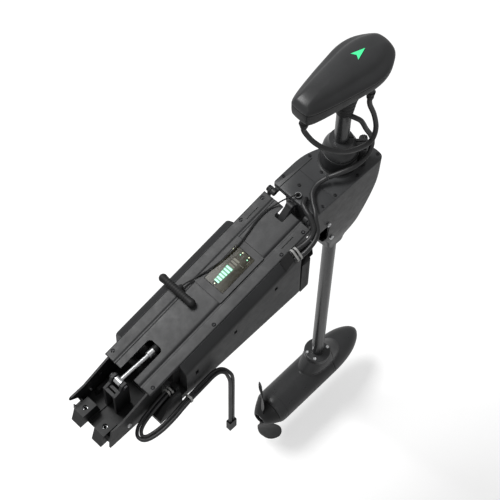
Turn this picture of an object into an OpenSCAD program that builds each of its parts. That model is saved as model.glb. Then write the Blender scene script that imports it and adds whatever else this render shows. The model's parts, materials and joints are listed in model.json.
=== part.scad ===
// Bow-mount trolling motor: deck mount and arm, tilting steering housing, shaft with a steering
// head on top and an electric motor with a two-blade propeller at the bottom.
// Frame: +Z up, +X towards the bow, +Y to port. The origin is the centre of the four deck bolts,
// on the underside of the mount, so z = 0 is the deck. Millimetres.

/* [Deck mount] */
// Distance between the front and rear deck bolts
bolt_dx = 500; // [480:10:520]
// Distance between the port and starboard deck bolts
bolt_dy = 64; // [60:1:68]
// Diameter of the deck bolt holes
bolt_hole_d = 7; // [6:0.5:8]
// Outer width of the mount's tray
tray_w = 130; // [129:1:132]

/* [Arm] */
// Half width of the top cover
cover_half = 73; // [73:1:75]
// Height of the cover's rear edge above the deck
cover_rear_z = 104; // [102:1:106]
// Rise of the cover towards the bow, in millimetres per metre
cover_rise = 203; // [198:1:206]
// Half width across the bulged side covers
side_half = 98; // [94:1:100]
// Half width of the slot above the gas spring
slot_half = 21; // [18:1:22]

/* [Shaft and steering] */
// Outer diameter of the shaft
shaft_d = 34.5; // [34.5:0.5:34.5]
// Distance from the deck bolts' centre to the shaft, along the bow
shaft_x = 530; // [530:1:532]
// Teeth on the ring gear that turns the shaft
ring_teeth = 56; // [56:1:56]
// Teeth on the servo's pinion
pinion_teeth = 14; // [14:1:14]
// Gear module
gear_module = 1; // [1:0.05:1.05]
// Radial running clearance of the bearings and pins
running = 0.05; // [0.03:0.01:0.08]

/* [Motor] */
// Height of the motor's axis
motor_z = -909; // [-929:5:-889]
// Outer diameter of the motor's shell
motor_d = 104; // [102:1:106]
// Tip radius of the propeller
prop_r = 146; // [140:1:150]
// Pitch angle of the blades from the axis, in degrees
blade_angle = 43; // [38:1:48]

/* [Hidden] */
$fn = 64;

black = "#2b2c2e";
charcoal = "#3a3b3d";
rubber = "#1d1d1f";
steel = "#c8cacc";
green = "#3fd08a";

// Lengthways stations of the mount and arm
tray_rear = -282;
tray_front = 330;
rail_rear = -68;
cover_rear = -147;
cover_front = 360;
hinge_x = 369;
hinge_z = 216;
knuckle_r = 8.4;
boss_h = 40;
rail_in = 58;
rail_out = 65;

// Gas spring: its bracket pin, the front end of its cylinder, and the lever's eye below the hinge
spring_rear = [-172, 0, 108];
spring_front_x = 188;
lever_reach = 53;

// Display panel on the cover
panel_x = [103, 246];
panel_half = 41;
window_x = [123, 228];
window_half = 29;
button_at = [129, 2];

// Steering
shaft_r = shaft_d / 2;
lid_z = 228;
ring_r = ring_teeth * gear_module / 2;
pinion_r = pinion_teeth * gear_module / 2;
servo_angle = 200;
servo_reach = ring_r + pinion_r;
gear_z = 150;
sleeve_r = 23;
turret_top = 278;
latch_y = -34;
latch_z = 150;
collar_top = 321;
knob_angle = -42;
knob_reach = 53;

// Cable sizes
lead_d = 8.5;
lead_gap = 4.8;
harness_d = 12;
cord_d = 3.5;

cover_tilt = atan(cover_rise / 1000);
function cover_z(x) = cover_rear_z + cover_rise / 1000 * (x - cover_rear);
function along(x) = x / cos(cover_tilt);
function unit(v) = v / norm(v);

// Smooth curve through points chosen by hand, and the tube swept along it
function spline_at(p, i, t) =
    let (a = p[max(i - 1, 0)], b = p[i], c = p[i + 1], d = p[min(i + 2, len(p) - 1)])
    0.5 * (2 * b + (c - a) * t + (2 * a - 5 * b + 4 * c - d) * t * t + (3 * b - a - 3 * c + d) * t * t * t);
function smooth(p, steps) = concat(
    [for (i = [0 : len(p) - 2]) for (k = [0 : steps - 1]) spline_at(p, i, k / steps)], [p[len(p) - 1]]);
function headings(q) = [for (i = [0 : len(q) - 1]) unit(q[min(i + 1, len(q) - 1)] - q[max(i - 1, 0)])];
function sideways(t, i = 0, done = []) = i == len(t) ? done :
    let (last = i == 0 ? [0.3, 0.9, 0.31] : done[i - 1])
    sideways(t, i + 1, concat(done, [unit(last - t[i] * (last * t[i]))]));

module tube(points, d, sides = 8, steps = 2) {
    q = smooth(points, steps);
    t = headings(q);
    n = sideways(t);
    rings = [for (i = [0 : len(q) - 1]) for (k = [0 : sides - 1])
        let (a = 360 * k / sides) q[i] + d / 2 * (cos(a) * n[i] + sin(a) * cross(t[i], n[i]))];
    skin(rings, sides, len(q));
}

// Closed skin over rings with the same number of points, each ring anticlockwise as seen from the next
module skin(rings, sides, count) {
    polyhedron(rings, concat(
        [[for (k = [0 : sides - 1]) k]],
        [[for (k = [0 : sides - 1]) count * sides - 1 - k]],
        [for (i = [0 : count - 2]) for (k = [0 : sides - 1])
            let (a = i * sides + k, b = i * sides + (k + 1) % sides) [a, b + sides, b]],
        [for (i = [0 : count - 2]) for (k = [0 : sides - 1])
            let (a = i * sides + k, b = i * sides + (k + 1) % sides) [a, a + sides, b + sides]]));
}

module loft(sections) {
    skin([for (s = sections) for (p = s) p], len(sections[0]), len(sections));
}

// A side view, given as [x, z] points, made into a plate between two values of y
module side_plate(points, y0, y1) {
    translate([0, y1, 0]) rotate([90, 0, 0]) linear_extrude(y1 - y0) polygon(points);
}

module both_sides() {
    children();
    mirror([0, 1, 0]) children();
}

module bar_y(x, z, r, y0, y1) {
    translate([x, y0, z]) rotate([-90, 0, 0]) cylinder(r = r, h = y1 - y0);
}

module bar_x(x0, x1, y, z, r) {
    translate([x0, y, z]) rotate([0, 90, 0]) cylinder(r = r, h = x1 - x0);
}

// Things that lie on the sloping cover are drawn flat, with along(x) as their own x
module on_cover() {
    translate([0, 0, cover_z(0)]) rotate([0, -cover_tilt, 0]) children();
}

/* ---------- deck mount and arm ---------- */

module deck_holes() {
    for (x = [-1, 1] * bolt_dx / 2, y = [-1, 1] * bolt_dy / 2) {
        translate([x, y, -1]) cylinder(d = bolt_hole_d, h = boss_h + 2);
        translate([x, y, boss_h - 7]) cylinder(r = 6, h = 10);
    }
}

module deck_tray() {
    half = tray_w / 2;
    color(charcoal) difference() {
        union() {
            translate([tray_rear + 22, -half, 0]) cube([tray_front - tray_rear - 22, 2 * half, 6]);
            both_sides() {
                side_plate([[tray_rear, 0], [tray_rear + 12, boss_h], [-228, boss_h], [-222, 6], [-222, 0]], 18, 48);
                side_plate([[-205, 6], [-197, 26], [-150, 26], [-142, 6]], 46, 54);
                translate([bolt_dx / 2, bolt_dy / 2, 0]) cylinder(r = 13, h = boss_h);
            }
            side_plate([[-238, 0], [-246, 42], [-268, 62], [-263, 68], [-224, 70], [-149, 99], [-97, 99], [-97, 0]],
                half - 5, half);
            side_plate([[-268, 0], [-265, 30], [-257, 70], [-224, 70], [-149, 99], [-106, 99], [-106, 0]],
                -half, 5 - half);
        }
        deck_holes();
        translate([tray_rear + 20, -14, 3]) cube([90, 28, 10]);
        both_sides() bar_y(-209, 32, 3.1, half - 6, half + 1);
    }
}

module arm_rails() {
    rail = [[rail_rear, 6], [rail_rear, 104], [rail_rear + 8, 110], [345, 193], [360.6, 196], [360.6, 218], [366, 224],
        [376, 222], [378, 210], [370, 198], [358, 184], [356, 20], [340, 6]];
    color(black) both_sides() difference() {
        side_plate(rail, rail_in, rail_out);
        bar_y(hinge_x, hinge_z, 5, rail_in - 1, rail_out + 1);
        for (x = [-20, 90, 200]) bar_y(x, 60, 14, rail_in - 1, rail_out + 1);
    }
}

module arm_crossplates() {
    color(black) {
        translate([-64, -rail_in, 6]) cube([5, 2 * rail_in, 78]);
        difference() {
            translate([160, -rail_in, 6]) cube([5, 2 * rail_in, 120]);
            translate([159, -14, 94]) cube([7, 28, 40]);
        }
        translate([325, -rail_in, 6]) cube([5, 2 * rail_in, 70]);
    }
}

// Screw positions along each edge of the cover
cover_screw_x = [-130, 60, 275, 345];

module cover_outline() {
    difference() {
        translate([along(cover_rear), -cover_half])
            square([along(cover_front) - along(cover_rear), 2 * cover_half]);
        translate([along(cover_rear) - 1, -slot_half]) square([84, 2 * slot_half]);
        translate([along(cover_rear) + 72, -slot_half + 10]) square([21, 2 * slot_half - 20]);
        for (y = [-1, 1] * (slot_half - 10)) translate([along(cover_rear) + 83, y]) circle(r = 10);
        translate([along(window_x[0] - 8), -window_half - 6]) square([window_x[1] - window_x[0] + 16, 2 * window_half + 12]);
        translate([along(330), -13]) square([60, 26]);
    }
}

module top_cover() {
    color(charcoal) on_cover() difference() {
        union() {
            translate([0, 0, -3]) linear_extrude(3) cover_outline();
            linear_extrude(2.4) intersection() {
                cover_outline();
                difference() {
                    translate([along(cover_rear), -40]) square([600, 80]);
                    translate([along(panel_x[0]) - 1, -panel_half - 1]) square([149, 2 * panel_half + 2]);
                }
            }
            both_sides() translate([along(rail_rear), cover_half - 3, -14]) cube([400, 3, 12]);
        }
        both_sides() for (x = cover_screw_x)
            translate([along(x), cover_half - 9, -4]) cylinder(r = 3, h = 8);
    }
}

// Half cross-section of a side cover at a station x, as [y, z]
function side_section(x, inset, foot_z) = [
    [cover_half + 0.3, foot_z], [side_half - 3 - inset, foot_z], [side_half - inset, 22],
    [side_half - 3 - inset, cover_z(x) - 16 - inset], [cover_half + 0.3, cover_z(x) - inset]];
function at_x(x, section) = [for (p = section) [x, p[0], p[1]]];

module side_cover(x0, x1) {
    wall = 3.5;
    difference() {
        loft([at_x(x0, side_section(x0, 0, 4)), at_x(x1, side_section(x1, 0, 4))]);
        loft([at_x(x0 + 4, side_section(x0 + 4, wall, -4)), at_x(x1 - 4, side_section(x1 - 4, wall, -4))]);
    }
}

module port_side_cover() {
    color(black) side_cover(-95, 262);
}

module starboard_side_cover() {
    color(charcoal) mirror([0, 1, 0]) side_cover(-58, 310);
}

module end_bumpers() {
    color(rubber) {
        mirror([0, 1, 0]) hull() {
            translate([310.4, cover_half + 0.5, 4]) cube([2, side_half - cover_half - 0.5, 128]);
            translate([334, cover_half + 12, 4]) cylinder(r = 12, h = 118, $fn = 24);
            translate([334, cover_half + 12, 120]) sphere(r = 12, $fn = 20);
        }
        hull() {
            translate([262.4, cover_half + 0.5, 4]) cube([2, side_half - cover_half - 2, 96]);
            translate([300, cover_half + 10, 4]) cylinder(r = 10, h = 92, $fn = 24);
        }
    }
}

module spring_bracket() {
    color(charcoal) difference() {
        union() {
            translate([-204, -19, 90]) cube([20, 38, 6]);
            both_sides() side_plate([[-204, 6], [-204, 96], [-186, 102], [-180, 118], [-166, 118], [-161, 108], [-161, 6]],
                12, 19);
        }
        bar_y(spring_rear[0], spring_rear[2], 4 + running, -20, 20);
        translate([-196, -13, 86]) cube([4, 26, 12]);
    }
}

module bracket_pin() {
    color(steel) {
        bar_y(spring_rear[0], spring_rear[2], 4, -19.2, 21);
        bar_y(spring_rear[0], spring_rear[2], 7.5, 19.2, 24);
        translate([spring_rear[0], -25, spring_rear[2]]) rotate([-90, 0, 0]) cylinder(r = 7.5, h = 5.8, $fn = 6);
    }
}

module gas_spring_rod() {
    color(steel) difference() {
        union() {
            bar_y(spring_rear[0], spring_rear[2], 9, -9, 9);
            bar_x(spring_rear[0], 60, 0, spring_rear[2], 5);
        }
        bar_y(spring_rear[0], spring_rear[2], 4 + running, -10, 10);
    }
}

// The cylinder's yoke rises to the lever's eye, which swings between its two plates
module gas_spring_cylinder() {
    eye = [hinge_x - lever_reach, hinge_z - lever_reach];
    z = spring_rear[2];
    color(black) difference() {
        union() {
            bar_x(-84, -66, 0, z, 8.5);
            bar_x(-66, spring_front_x, 0, z, 9.5);
            bar_x(spring_front_x - 2, 262, 0, z, 5);
            translate([258, -17, z - 8]) cube([8, 34, 16]);
            both_sides() {
                side_plate([[258, z - 8], [272, z - 8], [eye[0] + 8, eye[1] - 8], [eye[0] - 8, eye[1] + 8], [258, z + 12]],
                    12, 17);
                bar_y(eye[0], eye[1], 11, 12, 17);
            }
        }
        bar_x(-85, -59, 0, z, 5 + running);
        bar_x(-60, spring_front_x - 6, 0, z, 7.5);
        bar_y(eye[0], eye[1], 4, -18, 18);
    }
}

module tilt_pins() {
    color(steel) both_sides() {
        bar_y(hinge_x, hinge_z, 5, 46, rail_out + 0.4);
        bar_y(hinge_x, hinge_z, 8, rail_out + 0.2, rail_out + 4);
    }
}

module mount_screws() {
    color(steel) both_sides() {
        bar_y(-209, 32, 3, tray_w / 2 - 9, tray_w / 2 + 0.2);
        bar_y(-209, 32, 6, tray_w / 2 + 0.1, tray_w / 2 + 4);
        on_cover() for (x = cover_screw_x)
            translate([along(x), cover_half - 9, -3]) cylinder(r = 3, h = 4.2);
    }
}

module latch_keeper() {
    color(steel) difference() {
        translate([348, -rail_in + 0.2, 120]) cube([7, 38, 56]);
        bar_x(347, 356, latch_y, latch_z, 7);
    }
}

module motor_controller() {
    color("#4a4d50") {
        translate([-56, -44, 6.2]) cube([176, 88, 34]);
        for (y = [-36 : 12 : 36]) translate([-52, y - 1.5, 40]) cube([168, 3, 12]);
    }
}

/* ---------- display ---------- */

module display_bezel() {
    color(black) on_cover() difference() {
        translate([along(panel_x[0]), -panel_half, 0]) cube([panel_x[1] - panel_x[0], 2 * panel_half, 3.5]);
        translate([along(window_x[0]), -window_half, -1]) cube([window_x[1] - window_x[0], 2 * window_half, 9]);
    }
}

module display_board() {
    color("#22302a") on_cover() translate([along(window_x[0]) - 4, -window_half - 3, -6])
        cube([window_x[1] - window_x[0] + 8, 2 * window_half + 6, 1.6]);
}

module charge_bars() {
    color(green) on_cover() for (i = [0 : 5])
        translate([along(134.2) + 8 * i, -6, -4.4]) cube([4.2, 16, 1.6]);
}

module display_window() {
    color("#3b3a2c") on_cover() difference() {
        translate([along(window_x[0]) + 0.3, -window_half + 0.3, 0.4])
            cube([window_x[1] - window_x[0] - 0.6, 2 * window_half - 0.6, 2]);
        translate([along(button_at[0]), button_at[1], -1]) cylinder(r = 4.9, h = 6);
    }
}

module power_button() {
    color("#4b4b42") on_cover() translate([along(button_at[0]), button_at[1], -1.8]) cylinder(r = 4.3, h = 4.4);
}

/* ---------- handle, cords and clamps on the arm ---------- */

handle_at = [58, 50];

module pull_handle() {
    z = cover_z(handle_at[0]) + 13.6;
    color(rubber) difference() {
        union() {
            bar_y(handle_at[0], z, 9, handle_at[1] - 44, handle_at[1] + 44);
            translate([handle_at[0], handle_at[1] - 44, z]) sphere(r = 10.5);
            translate([handle_at[0], handle_at[1] + 44, z]) sphere(r = 10.5);
            bar_x(handle_at[0], handle_at[0] + 16, handle_at[1], z, 6);
        }
        bar_x(handle_at[0] + 6, handle_at[0] + 20, handle_at[1], z, 2);
    }
}

cord_route = [[74.6, 50, 159.2], [84, 49.4, 158.6], [110, 42, 162], [140, 33, 170], [170, 27, 176], [200, 24, 182],
    [230, 24, 188], [260, 28, 194], [290, 33, 200], [320, 34, 206], [345, 28, 212], [365, 16, 228],
    [380, 6, 237], [390, 1.5, 239], [394, 0, 234], [394, 0, 224]];

module release_cord() {
    color(rubber) tube(cord_route, cord_d, 8, 3);
}

module cable_clamp_block() {
    color(black) {
        hull() {
            translate([-150, -103.5, 0]) cube([70, 16, 14]);
            translate([-130, -102, 0]) cube([50, 14, 40]);
            translate([-100, -100, 0]) cube([20, 11, 56]);
        }
        hull() {
            translate([-150, -92, 0]) cube([70, 26, 12]);
            translate([-96, -92, 0]) cube([20, 26, 31]);
        }
        translate([-84, -85.5, 34]) cube([12, 19, 24]);
    }
}

// Each tie is a ring in the plane across the cable, given by its centre
module tie(at, wide) {
    translate(at) rotate([0, 90, 0]) difference() {
        cylinder(r = 10.4, h = wide);
        translate([0, 0, -1]) cylinder(r = 9.2, h = wide + 2);
    }
}

// A band round the two harness cables, side by side at the arm's gland
module pair_band(x, wide) {
    ahead = x + wide / 2 - 291;
    pair = [for (p = [[-94.3, 189], [-80.8, 199.6]]) [-p[1] - 0.115 * ahead, p[0] - 0.195 * ahead]];
    translate([x, 0, 0]) rotate([0, 90, 0]) linear_extrude(wide) difference() {
        hull() for (p = pair) translate(p) circle(r = 8);
        hull() for (p = pair) translate(p) circle(r = 6.9);
    }
}

module cable_ties() {
    color("#d9d9d6") {
        tie([-101, -74.5, 46], 4);
        tie([-93, -74.5, 46], 4);
        tie([-70, -112.5, 24], 5);
        for (x = [289, 298]) pair_band(x, 5);
    }
}

function shoulder_z(x, y) = cover_z(x) - 16 * (y - cover_half - 0.3) / (side_half - 3.3 - cover_half);

module arm_gland() {
    color(black) mirror([0, 1, 0]) loft([for (station = [[258, 3], [269, 14], [284.4, 19]]) let (x = station[0])
        [[x, 75, shoulder_z(x, 75) + 0.1], [x, 96, shoulder_z(x, 96) + 0.1],
            [x, 96, shoulder_z(x, 96) + station[1]], [x, 75, shoulder_z(x, 75) + station[1]]]]);
}

// The power lead's two cables lie side by side: out of the clamp, back round, forward along the
// side cover, over the edge of the deck and straight down to the plug
lead_route = [[-84.4, -74.5, 46], [-104, -74.5, 46], [-128, -75, 40], [-152, -75.5, 30], [-176, -77, 20], [-194, -82, 12],
    [-204, -92, 9], [-203, -103, 9], [-190, -111, 9], [-160, -116.5, 12], [-124, -117, 18], [-96, -115, 23],
    [-70, -112.5, 24], [-40, -110.5, 23], [-12, -109.5, 25], [10, -110, 29], [26, -114, 30], [36, -122, 25],
    [41, -131, 10], [43, -135, -12], [43, -136, -50], [43, -136, -110], [43, -136, -180], [43, -136, -250]];
function beside(p, s) = let (t = headings(p)) [for (i = [0 : len(p) - 1])
    let (u = i > len(p) - 7 ? [-1, 0, 0] : unit(cross(t[i], [0, 0.25, 1]))) p[i] + s * lead_gap * u];

module power_lead_positive() {
    color("#26272a") tube(beside(lead_route, 1), lead_d);
}

module power_lead_negative() {
    color("#26272a") tube(beside(lead_route, -1), lead_d);
}

module power_plug() {
    color(black) {
        translate([43, -136, -292]) translate([-11, -7, 0]) cube([22, 14, 42]);
        for (s = [-1, 1]) translate([43 + s * 5.2, -136, -300]) cylinder(r = 3.2, h = 9);
    }
}

/* ---------- steering housing ---------- */

// Plan outlines of the housing at five heights, each of 12 points
housing_rings = [
    [-120, [[500, -28], [540, -30], [552, -22], [557, -12], [558, 0], [555, 10], [549, 19], [540, 27], [520, 30],
        [500, 28], [495, 10], [495, -10]]],
    [-90, [[485, -34], [545, -34], [556, -26], [560, -14], [560, 0], [556, 14], [548, 24], [538, 32], [515, 34],
        [485, 34], [480, 15], [480, -15]]],
    [0, [[452, -52], [560, -56], [574, -46], [576, -22], [572, -4], [562, 14], [545, 32], [520, 44], [490, 50],
        [452, 50], [450, 20], [450, -20]]],
    [120, [[382, -62], [594, -66], [606, -58], [606, -30], [594, -12], [572, 14], [545, 38], [513, 56], [474, 64],
        [382, 62], [381, 20], [381, -20]]],
    [220, [[382, -66], [600, -68], [612, -60], [612, -30], [600, -12], [578, 14], [550, 40], [513, 58], [474, 69],
        [382, 66], [381, 20], [381, -20]]]];
function housing_ring(i, wall, z) = [for (p = housing_rings[i][1])
    [500 + (p[0] - 500) * (1 - wall / 110), p[1] * (1 - wall / 64), z]];

// The open corner behind the housing on the port side, below its top plate
module port_notch(wall) {
    translate([360, 12 - wall, 30 - wall]) cube([64 + wall, 80, 184 + 3 * wall]);
}

module housing_inside() {
    difference() {
        loft([housing_ring(1, 6, -70), housing_ring(2, 6, 4), housing_ring(3, 6, 120), housing_ring(4, 6, 221)]);
        port_notch(4);
    }
}

// Outer knuckles for the two tilt pins, and the lever that the gas spring pushes
module hinge_knuckles() {
    both_sides() {
        bar_y(hinge_x, hinge_z, knuckle_r, 46, rail_in - 1);
        side_plate([[hinge_x, 211], [hinge_x, 219], [427, 219], [427, 211]], 46, rail_in - 1);
    }
    bar_y(hinge_x, hinge_z, knuckle_r, -9, 9);
    side_plate([[hinge_x, 210], [hinge_x, 219], [385, 219], [385, 190]], -9, 9);
    translate([hinge_x, 0, hinge_z]) rotate([0, -45, 0]) translate([-lever_reach * sqrt(2), -8, -7])
        cube([lever_reach * sqrt(2), 16, 14]);
    bar_y(hinge_x - lever_reach, hinge_z - lever_reach, 10, -9, 9);
}

module steering_housing() {
    color(charcoal) difference() {
        union() {
            difference() {
                loft([for (r = housing_rings) [for (p = r[1]) [p[0], p[1], r[0]]]]);
                housing_inside();
                port_notch(0);
            }
            hinge_knuckles();
            translate([shaft_x, 0, -118]) cylinder(r = 29, h = 52);
            translate([383, latch_y - 9, latch_z - 12]) cube([34, 18, 24]);
        }
        translate([shaft_x, 0, -130]) cylinder(r = sleeve_r + 1.5, h = 100);
        translate([shaft_x, 0, -115]) cylinder(r = 27, h = 14);
        bar_y(hinge_x, hinge_z, 5 + running, -70, 70);
        bar_y(hinge_x - lever_reach, hinge_z - lever_reach, 4, -10, 10);
        bar_x(370, 430, latch_y, latch_z, 6 + running);
        translate([412, -72, 44]) cube([28, 32, 66]);
        bar_y(432, 132, 3, -80, -40);
        bar_y(458, 30, 3, -80, -30);
    }
}

module housing_lid() {
    color(charcoal) difference() {
        union() {
            translate([0, 0, 220.2]) linear_extrude(lid_z - 220.2) polygon(housing_rings[4][1]);
            translate([shaft_x, 0, lid_z - 1]) cylinder(r = 43, h = turret_top - lid_z + 1);
            for (a = [-130 : 9 : -40])
                translate([shaft_x, 0, lid_z + 6]) rotate([0, 0, a + 90]) translate([42.4, -1.2, 0]) cube([2.4, 2.4, 36]);
        }
        translate([shaft_x, 0, 210]) cylinder(r = sleeve_r + 1.5, h = 80);
        translate([shaft_x, 0, 234]) cylinder(r = 30, h = 60);
        translate([394, 0, 219]) cylinder(r = 2.6, h = 12);
        for (p = lid_screw_at) translate([p[0], p[1], 215]) cylinder(r = 2.1, h = 20);
    }
}

lid_screw_at = [[409, 60], [491, 55], [417, 18], [478, 6], [413, -58], [455, -58], [529, -58], [604, -52], [418, -18]];

module lid_screws() {
    color("#55585b") for (p = lid_screw_at) {
        translate([p[0], p[1], lid_z]) cylinder(r = 3.6, h = 1.8);
        translate([p[0], p[1], 220.3]) cylinder(r = 2.05, h = 8);
    }
}

module housing_bolts() {
    color(steel) {
        bar_y(432, 132, 2.95, -66, -48);
        translate([432, -68.4, 132]) rotate([-90, 0, 0]) cylinder(r = 6, h = 4.6, $fn = 6);
        bar_y(458, 30, 2.95, -59, -40);
        translate([458, -60.4, 30]) rotate([-90, 0, 0]) cylinder(r = 6, h = 4.6, $fn = 6);
    }
}

module cord_eyelet() {
    color("#8c8f92") difference() {
        union() {
            translate([394, 0, lid_z]) cylinder(r = 8.5, h = 3);
            translate([394, 0, lid_z]) cylinder(r = 6, h = 6);
        }
        translate([394, 0, lid_z - 1]) cylinder(r = 2.6, h = 9);
    }
}

module latch_bolt() {
    color(steel) {
        bar_x(356, 418, latch_y, latch_z, 6);
        bar_x(417.5, 421, latch_y, latch_z, 8);
    }
}

// The servo's motor stands behind the shaft, and its gear case reaches forward to the pinion
module steering_servo() {
    color("#3c3f42") translate([shaft_x, 0, 0]) rotate([0, 0, servo_angle]) {
        translate([servo_reach, 0, 163]) cylinder(r = 11, h = 13);
        translate([servo_reach, -11, 163]) cube([37, 22, 13]);
        translate([servo_reach + 37, 0, 163]) cylinder(r = 20, h = 50);
    }
}

// Spur gear: straight-sided teeth, slightly thin for backlash
module gear(teeth, r, h, first) {
    pitch = 360 / teeth;
    linear_extrude(h) polygon([for (i = [0 : teeth - 1]) for (c = [[-0.27, -1.2], [-0.12, 0.85], [0.12, 0.85], [0.27, -1.2]])
        let (a = first + pitch * (i + c[0]), d = r + c[1] * gear_module) [d * cos(a), d * sin(a)]]);
}

module servo_pinion() {
    color(steel) translate([shaft_x, 0, gear_z]) rotate([0, 0, servo_angle]) translate([servo_reach, 0, 0]) {
        gear(pinion_teeth, pinion_r, 11, 180);
        translate([0, 0, 10.5]) cylinder(r = 3, h = 2);
    }
}

module ring(r_in, r_out, z0, z1) {
    translate([shaft_x, 0, z0]) difference() {
        cylinder(r = r_out, h = z1 - z0);
        translate([0, 0, -1]) cylinder(r = r_in, h = z1 - z0 + 2);
    }
}

module sleeve_bearings() {
    color("#e2e0d6") {
        ring(sleeve_r + running, 30, 236, 252);
        ring(sleeve_r + running, 27, -114, -102);
    }
}

/* ---------- steering sleeve, collar ---------- */

module steering_sleeve() {
    color("#7c8084") union() {
        ring(shaft_r + running, sleeve_r, -116, turret_top + 1.2);
        ring(sleeve_r - 0.5, 40, turret_top + 0.6, turret_top + 3);
    }
}

module ring_gear() {
    color(steel) difference() {
        translate([shaft_x, 0, gear_z]) gear(ring_teeth, ring_r, 10, servo_angle + 180 / ring_teeth);
        translate([shaft_x, 0, gear_z - 1]) cylinder(r = sleeve_r, h = 12);
    }
}

module depth_collar() {
    z0 = turret_top + 3;
    bore = shaft_r + running;
    color(charcoal) difference() {
        union() {
            translate([shaft_x, 0, 0]) rotate_extrude() polygon([[bore, z0], [41, z0], [41, z0 + 6], [39, z0 + 14],
                [34, z0 + 24], [30, z0 + 32], [28, collar_top], [bore, collar_top]]);
            translate([shaft_x, 0, z0]) rotate([0, 0, knob_angle]) translate([28, -8, 0]) cube([34, 16, 20]);
        }
        translate([shaft_x, 0, z0 - 1]) cylinder(r = bore, h = 60);
        translate([shaft_x, 0, z0 - 1]) rotate([0, 0, knob_angle]) translate([0, -1, 0]) cube([70, 2, 60]);
        translate([shaft_x, 0, z0 + 10]) rotate([0, 0, knob_angle]) translate([knob_reach, -20, 0]) rotate([-90, 0, 0])
            cylinder(r = 3 + running, h = 40);
    }
}

module collar_knob() {
    color(rubber) translate([shaft_x, 0, turret_top + 13]) rotate([0, 0, knob_angle]) translate([knob_reach, 0, 0])
        rotate([-90, 0, 0]) {
        translate([0, 0, 8.4]) cylinder(r = 10, h = 12, $fn = 10);
        translate([0, 0, -8]) cylinder(r = 3, h = 17);
    }
}

/* ---------- steering head ---------- */

head_rear = 376;
head_front = 655;
// Half plan outline from the rear to the front
head_half = [[376, 16], [381, 25], [411, 37], [450, 48], [500, 58], [550, 62], [588, 58], [615, 49], [635, 34], [644, 14]];
function head_ring(sx, sy, z_rear, z_front) = [for (i = [0 : 2 * len(head_half) - 1])
    let (k = i < len(head_half) ? i : 2 * len(head_half) - 1 - i, p = head_half[k],
        x = 520 + (p[0] - 520) * sx, y = p[1] * sy * (i < len(head_half) ? -1 : 1))
    [x, y, z_rear + (z_front - z_rear) * (x - head_rear) / (head_front - head_rear)]];

module head_base() {
    color(black) difference() {
        loft([head_ring(0.93, 0.84, 549, 540), head_ring(0.985, 0.95, 560, 546), head_ring(1, 1, 593, 565)]);
        loft([head_ring(0.9, 0.8, 553, 545), head_ring(0.96, 0.92, 563, 550), head_ring(0.97, 0.94, 594, 566)]);
        translate([shaft_x, 0, 530]) cylinder(r = shaft_r + 0.3, h = 30);
    }
}

module head_cover() {
    color(charcoal) difference() {
        loft([head_ring(1, 1, 594, 566), head_ring(0.995, 0.97, 606, 578), head_ring(0.975, 0.9, 618, 596),
            head_ring(0.93, 0.78, 625, 608), head_ring(0.88, 0.7, 627, 611)]);
        loft([head_ring(0.97, 0.94, 593, 565), head_ring(0.96, 0.91, 606, 577), head_ring(0.94, 0.83, 615, 592),
            head_ring(0.88, 0.7, 622, 605)]);
    }
}

module head_neck() {
    color(black) difference() {
        translate([shaft_x, 0, 0]) rotate_extrude() polygon([[15, 430], [20, 430], [22, 445], [25, 470], [30, 495],
            [37, 520], [41, 541.5], [15, 541.5]]);
        translate([shaft_x, 0, 420]) cylinder(r = shaft_r + 0.02, h = 130);
    }
}

module head_board() {
    color("#1f4a33") translate([0, 0, 572]) linear_extrude(1.6) polygon([[410, -20], [480, -36], [560, -44], [600, -34],
        [600, 34], [560, 44], [480, 36], [410, 20]]);
}

module direction_arrow() {
    slope = (611 - 627) / (head_front - head_rear);
    color(green) multmatrix([[1, 0, 0, 0], [0, 1, 0, 0], [slope, 0, 1, 627 - slope * head_rear + 0.05], [0, 0, 0, 1]])
        linear_extrude(0.9) polygon([[575, 0], [543, 10.5], [549.5, 0], [543, -10.5]]);
}

module head_glands() {
    color(rubber) {
        translate([396, 0, 512]) cylinder(r = 9, h = 35.8);
        translate([396, 0, 520]) cylinder(r = 11.5, h = 6, $fn = 6);
        translate([563, -39, 486]) cylinder(r = 8.5, h = 56.6);
        translate([563, -39, 504]) cylinder(r = 10.5, h = 9);
    }
}

module shaft_tube() {
    color("#4a4d50") ring(14, shaft_r, -816, 556);
}

/* ---------- harness ---------- */

loop_route = [[396, 0, 511.4], [396, 0, 500], [400, -6, 484], [410, -18, 458], [428, -34, 430], [454, -48, 404],
    [484, -57, 380], [520, -61, 358], [548, -62, 347], [566, -61, 354], [575, -57, 380], [573, -49, 420],
    [565, -41, 456], [563, -39, 472], [563, -39, 485.8]];
depth_route = [[538, -25, 420], [554, -31, 396], [570, -35, 352], [579, -41, 328], [582.5, -46, 312], [583, -47, 301]];
steer_route = [[583, -47, 299], [582, -48, 288], [572, -51, 272], [550, -52.5, 266], [520, -50, 265], [492, -38, 260],
    [469.2, -22.8, 249.6]];
tilt_route = [[466.8, -21.2, 248.4], [444, -14, 240], [420, -20, 238], [402, -38, 237.5], [388, -58, 237], [376, -72, 230],
    [366, -88, 216], [348, -97.5, 206], [322, -99.5, 196], [304, -97, 190.5], [286, -93.3, 188.3]];
tilt_route_2 = [[399, -20, 233], [393, -21.5, 238], [381, -28, 240.5], [374, -44, 240], [369.5, -60, 237],
    [362, -78, 225], [350, -86, 213], [332, -87.5, 206], [308, -84, 201.5], [286, -79.8, 199]];

module head_loop_cable() {
    color(black) tube(loop_route, harness_d);
}

module depth_cable() {
    color(black) tube(depth_route, harness_d);
}

module steer_cable() {
    color(black) tube(steer_route, harness_d);
}

module tilt_cable() {
    color(black) {
        tube(tilt_route, harness_d);
        tube(tilt_route_2, harness_d);
    }
}

/* ---------- motor ---------- */

motor_rear = 342;
motor_front = 700;
module on_motor_axis(x) {
    translate([x, 0, motor_z]) rotate([0, 90, 0]) children();
}

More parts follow.
